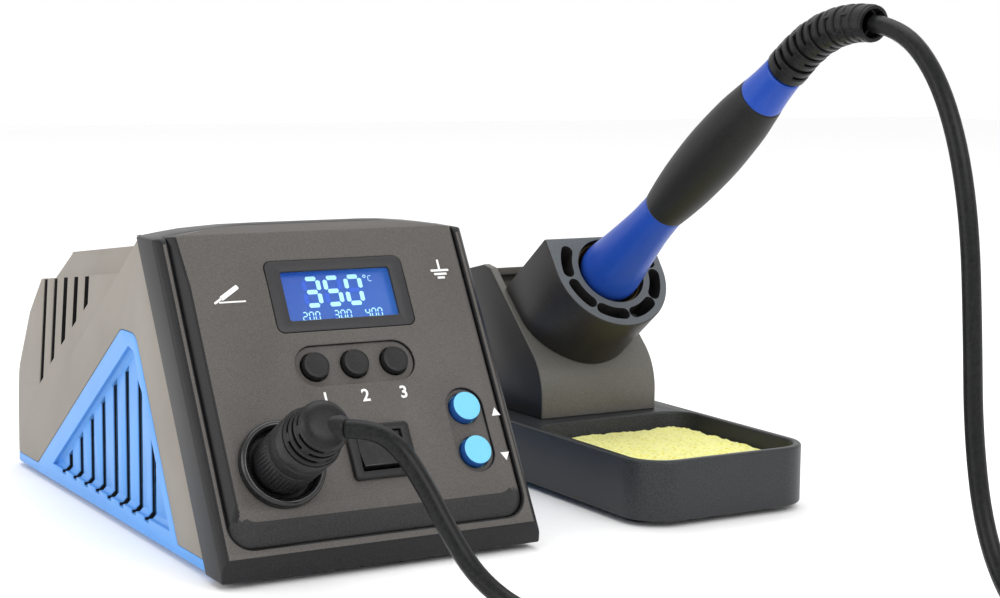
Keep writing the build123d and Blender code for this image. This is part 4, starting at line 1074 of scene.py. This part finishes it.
def cord_piece(name, points, diameter, steps):
    """A round cord along a smooth line of control points, and the line that it follows."""
    curve = bpy.data.curves.new(name, "CURVE")
    curve.dimensions = "3D"
    curve.resolution_u = steps
    spline = curve.splines.new("NURBS")
    spline.points.add(len(points) - 1)
    for point, place in zip(spline.points, points):
        point.co = (*place, 1)
    spline.order_u = 3
    spline.use_endpoint_u = True
    line = bpy.data.objects.new(name, curve)
    bpy.context.collection.objects.link(line)
    bpy.context.view_layer.update()
    path = [vert.co.copy() for vert in bpy.data.meshes.new_from_object(line).vertices]
    curve.bevel_depth = diameter / 2
    curve.bevel_resolution = 4
    curve.use_fill_caps = True
    only(line)
    bpy.ops.object.convert(target="MESH")
    return bpy.context.object, path


def finish_cord(piece):
    """A cord's smooth shading and finish, with its place baked into its mesh."""
    only(piece)
    bpy.ops.object.shade_smooth()
    piece.data.materials.clear()
    piece.data.materials.append(cord_silicone())
    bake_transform(piece)


def build_cords():
    diameter = bpy.context.scene.station_cord.diameter
    stub = PANEL @ Vector((*SOCKET_AT, STUB_FROM))
    plug_exit = stub + STUB_WAY * STUB_LENGTH * MM
    left = COIL_AT + Vector((-COIL_WIDE, 0, COIL_BOTTOM))
    route = [plug_exit, plug_exit + STUB_WAY * 8 * MM] + [ORIGIN + Vector(point) for point in PLUG_ROUTE]
    lead, path = cord_piece("cord_to_plug", route + [ORIGIN + left], diameter, 10)
    finish_cord(lead)
    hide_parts("cord_plug_side")
    outlet = IRON @ boot_place(BOOT_LENGTH)
    boot_end = outlet @ Vector((0, 0, 0.05))
    way = (outlet.to_3x3() @ Vector((0, 0, 1))).normalized()
    route = [boot_end, boot_end + way * 11 * MM]
    route += [ORIGIN + Vector(point) for point in IRON_ROUTE]
    route += [ORIGIN + COIL_AT + Vector((COIL_WIDE, 0, COIL_TOP))]
    route += [ORIGIN + point for point in coil_turns()]
    lead, path = cord_piece("cord_to_iron", route, diameter, 6)
    finish_cord(lead)
    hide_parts("cord_iron_side", "cord_coil")


def build_strap():
    """A strap round the coil's turns, overlapped on top."""
    _, middle, size = box_in_place("cord_tie")
    band = primitive("cube", size=1, scale=(size.x - 0.9, size.y, size.z - 0.9))
    bpy.ops.object.mode_set(mode="EDIT")
    pick(band, lambda face: abs(face.normal.y) > 0.9)
    bpy.ops.mesh.delete(type="ONLY_FACE")
    pick(band, lambda edge: abs(edge.verts[0].co.y - edge.verts[1].co.y) > size.y / 2, "edges")
    bpy.ops.mesh.bevel(offset=1.6, segments=4, affect="EDGES")
    bpy.ops.object.mode_set(mode="OBJECT")
    band = modified(band, "SOLIDIFY", thickness=0.7, offset=0)
    top = size.z / 2
    tab = plate((size.x * 0.12, 0), (size.x * 0.5, size.y - 0.8), top - 0.5, top + 0.1, 1.2, 3)
    strap = joined([soften(band, 0.12), soften(tab, 0.12)])
    settle(strap, "cord_strap", STATION @ Matrix.Translation(middle), "station", tie_fabric(),
           ["cord_tie"], 40)


# ---- stage ----------------------------------------------------------------------------------
LENS, SENSOR = 71.32, 36.0
CAMERA_AT = Vector((-0.26306, -0.49814, 0.15066))       # from the control unit's own origin
CAMERA_TURN = (82.776, -0.635, -30.676)                 # degrees about X, Y and Z
FLOOR_SIZE = 6.0
# name, place, what it is aimed at, size and power
SOFTBOXES = (
    ("left_softbox", (-1.1, 0.05, 0.42), (0.0, 0.05, 0.05), (0.9, 0.7), 4),
    ("front_softbox", (0.1, -1.3, 0.95), (0.0, 0.0, 0.06), (1.1, 0.7), 8),
    ("top_softbox", (0.15, 0.35, 1.5), (0.0, 0.0, 0.0), (1.4, 1.0), 7),
)


def soft_light(name, place, target, size, power):
    """A white rectangular softbox aimed at a point."""
    light = bpy.data.lights.new(name, "AREA")
    light.shape = "RECTANGLE"
    light.size, light.size_y = size
    light.energy = power
    lamp = bpy.data.objects.new(name, light)
    lamp.location = place
    lamp.rotation_euler = (Vector(target) - Vector(place)).to_track_quat("-Z", "Y").to_euler()
    bpy.context.collection.objects.link(lamp)


def build_stage():
    settings = bpy.context.scene.station_studio
    floor = primitive("plane", size=FLOOR_SIZE, location=(0, 0, 0))
    floor.name = "floor"
    card = surfaced("Matte_card_white", "#fbfbfb", 0.85, 4.0, 0.002, 0.01, 0.01)
    floor.data.materials.append(card)
    data = bpy.data.cameras.new("camera")
    data.lens, data.sensor_width, data.sensor_fit = settings.lens, SENSOR, "HORIZONTAL"
    data.clip_start = 0.01
    camera = bpy.data.objects.new("camera", data)
    camera.location = ORIGIN + CAMERA_AT
    camera.rotation_euler = Euler([radians(turn) for turn in CAMERA_TURN])
    bpy.context.collection.objects.link(camera)
    bpy.context.scene.camera = camera
    for name, place, target, size, power in SOFTBOXES:
        soft_light(name, place, target, size, power * settings.light)
    bpy.context.scene.view_settings.view_transform = "Standard"
    world = bpy.data.worlds.new("studio")
    bpy.context.scene.world = world
    world.use_nodes = True
    background = world.node_tree.nodes["Background"]
    background.inputs["Color"].default_value = linear("#ffffff")
    background.inputs["Strength"].default_value = 1.0


# ---- add-on ---------------------------------------------------------------------------------
class StationColours(bpy.types.PropertyGroup):
    """Colours of the moulded and painted parts."""
    case: bpy.props.FloatVectorProperty(
        name="Case", description="Cheeks and roof of the control unit", subtype="COLOR", size=4, min=0,
        max=1, default=linear("#857f77"))
    panel: bpy.props.FloatVectorProperty(
        name="Panel", description="Sloping front panel", subtype="COLOR", size=4, min=0, max=1,
        default=linear("#504c48"))
    base: bpy.props.FloatVectorProperty(
        name="Base", description="Base with its slotted side wings", subtype="COLOR", size=4, min=0,
        max=1, default=linear("#5b97da"))
    collar: bpy.props.FloatVectorProperty(
        name="Collars", description="Collars at both ends of the iron's grip", subtype="COLOR", size=4,
        min=0, max=1, default=linear("#1a46a6"))
    tray: bpy.props.FloatVectorProperty(
        name="Tray", description="Sponge tray and foot of the holder", subtype="COLOR", size=4, min=0,
        max=1, default=linear("#222427"))


class StationCord(bpy.types.PropertyGroup):
    """Size of the flexible cord."""
    diameter: bpy.props.FloatProperty(
        name="Diameter", description="Outside diameter of the cord's jacket", default=5.5 * MM,
        min=4 * MM, max=7 * MM, unit="LENGTH", precision=4)


class StationStudio(bpy.types.PropertyGroup):
    """Camera and light."""
    lens: bpy.props.FloatProperty(
        name="Lens", description="Focal length of the camera", default=LENS, min=20, max=200,
        subtype="DISTANCE_CAMERA")
    light: bpy.props.FloatProperty(
        name="Light", description="Strength of the softboxes, as a share of the usual one", default=1.0,
        min=0, max=4, subtype="FACTOR")


class STATION_OT_stage(bpy.types.Operator):
    """Adds the floor, the softboxes and the camera"""
    bl_idname = "station.stage"
    bl_label = "Stage"

    def execute(self, context):
        build_stage()
        return {"FINISHED"}


class STATION_OT_inside(bpy.types.Operator):
    """Gives every frame node its finish"""
    bl_idname = "station.inside"
    bl_label = "Inside"

    def execute(self, context):
        build_inside()
        return {"FINISHED"}


class STATION_OT_case(bpy.types.Operator):
    """Builds the cover, base, front frame and front panel"""
    bl_idname = "station.case"
    bl_label = "Case"

    def execute(self, context):
        build_case()
        return {"FINISHED"}


class STATION_OT_display(bpy.types.Operator):
    """Builds the display with its digits"""
    bl_idname = "station.display"
    bl_label = "Display"

    def execute(self, context):
        build_display()
        return {"FINISHED"}


class STATION_OT_keys(bpy.types.Operator):
    """Builds the five round keys"""
    bl_idname = "station.keys"
    bl_label = "Keys"

    def execute(self, context):
        build_keys()
        return {"FINISHED"}


class STATION_OT_switch(bpy.types.Operator):
    """Builds the rocker switch"""
    bl_idname = "station.switch"
    bl_label = "Rocker switch"

    def execute(self, context):
        build_switch()
        return {"FINISHED"}


class STATION_OT_plug(bpy.types.Operator):
    """Builds the socket and the plug in it"""
    bl_idname = "station.plug"
    bl_label = "Socket and plug"

    def execute(self, context):
        build_socket()
        build_plug_boot()
        return {"FINISHED"}


class STATION_OT_print(bpy.types.Operator):
    """Prints the numbers and pictograms"""
    bl_idname = "station.print"
    bl_label = "Print"

    def execute(self, context):
        build_print()
        return {"FINISHED"}


class STATION_OT_rear(bpy.types.Operator):
    """Builds the rear panel, its connectors and the feet"""
    bl_idname = "station.rear"
    bl_label = "Rear and feet"

    def execute(self, context):
        build_rear()
        return {"FINISHED"}


class STATION_OT_holder(bpy.types.Operator):
    """Builds the tray, tower and holder block"""
    bl_idname = "station.holder"
    bl_label = "Holder"

    def execute(self, context):
        build_holder()
        return {"FINISHED"}


class STATION_OT_sponge(bpy.types.Operator):
    """Builds the cleaning sponge"""
    bl_idname = "station.sponge"
    bl_label = "Sponge"

    def execute(self, context):
        build_sponge()
        return {"FINISHED"}


class STATION_OT_iron(bpy.types.Operator):
    """Builds the iron and its strain relief"""
    bl_idname = "station.iron"
    bl_label = "Iron"

    def execute(self, context):
        build_iron()
        build_iron_boot()
        return {"FINISHED"}


class STATION_OT_cords(bpy.types.Operator):
    """Lays the cord, its coil and the strap"""
    bl_idname = "station.cords"
    bl_label = "Cord"

    def execute(self, context):
        build_strap()
        build_cords()
        return {"FINISHED"}


OPERATORS = (STATION_OT_stage, STATION_OT_inside, STATION_OT_case, STATION_OT_display, STATION_OT_keys,
             STATION_OT_switch, STATION_OT_plug, STATION_OT_print, STATION_OT_rear, STATION_OT_holder,
             STATION_OT_sponge, STATION_OT_iron, STATION_OT_cords)


class STATION_PT_sidebar(bpy.types.Panel):
    """The station's sizes, colours and pieces"""
    bl_idname = "STATION_PT_sidebar"
    bl_label = "Soldering station"
    bl_space_type = "VIEW_3D"
    bl_region_type = "UI"
    bl_category = "Station"

    def draw(self, context):
        scene = context.scene
        for group in (scene.station_colours, scene.station_cord, scene.station_studio):
            box = self.layout.box()
            for name in group.bl_rna.properties.keys():
                if name not in ("rna_type", "name"):
                    box.prop(group, name)
        for operator in OPERATORS:
            self.layout.operator(operator.bl_idname)


GROUPS = {"station_colours": StationColours, "station_cord": StationCord,
          "station_studio": StationStudio}


def register():
    for group in GROUPS.values():
        bpy.utils.register_class(group)
    for name, group in GROUPS.items():
        setattr(bpy.types.Scene, name, bpy.props.PointerProperty(type=group))
    for kind in (*OPERATORS, STATION_PT_sidebar):
        bpy.utils.register_class(kind)


def unregister():
    for kind in (STATION_PT_sidebar, *reversed(OPERATORS)):
        bpy.utils.unregister_class(kind)
    for name in GROUPS:
        delattr(bpy.types.Scene, name)
    for group in GROUPS.values():
        bpy.utils.unregister_class(group)


def main():
    register()
    for operator in OPERATORS:
        name = operator.bl_idname.split(".")[1]
        getattr(bpy.ops.station, name)()
    only()


if __name__ == "__main__":
    main()
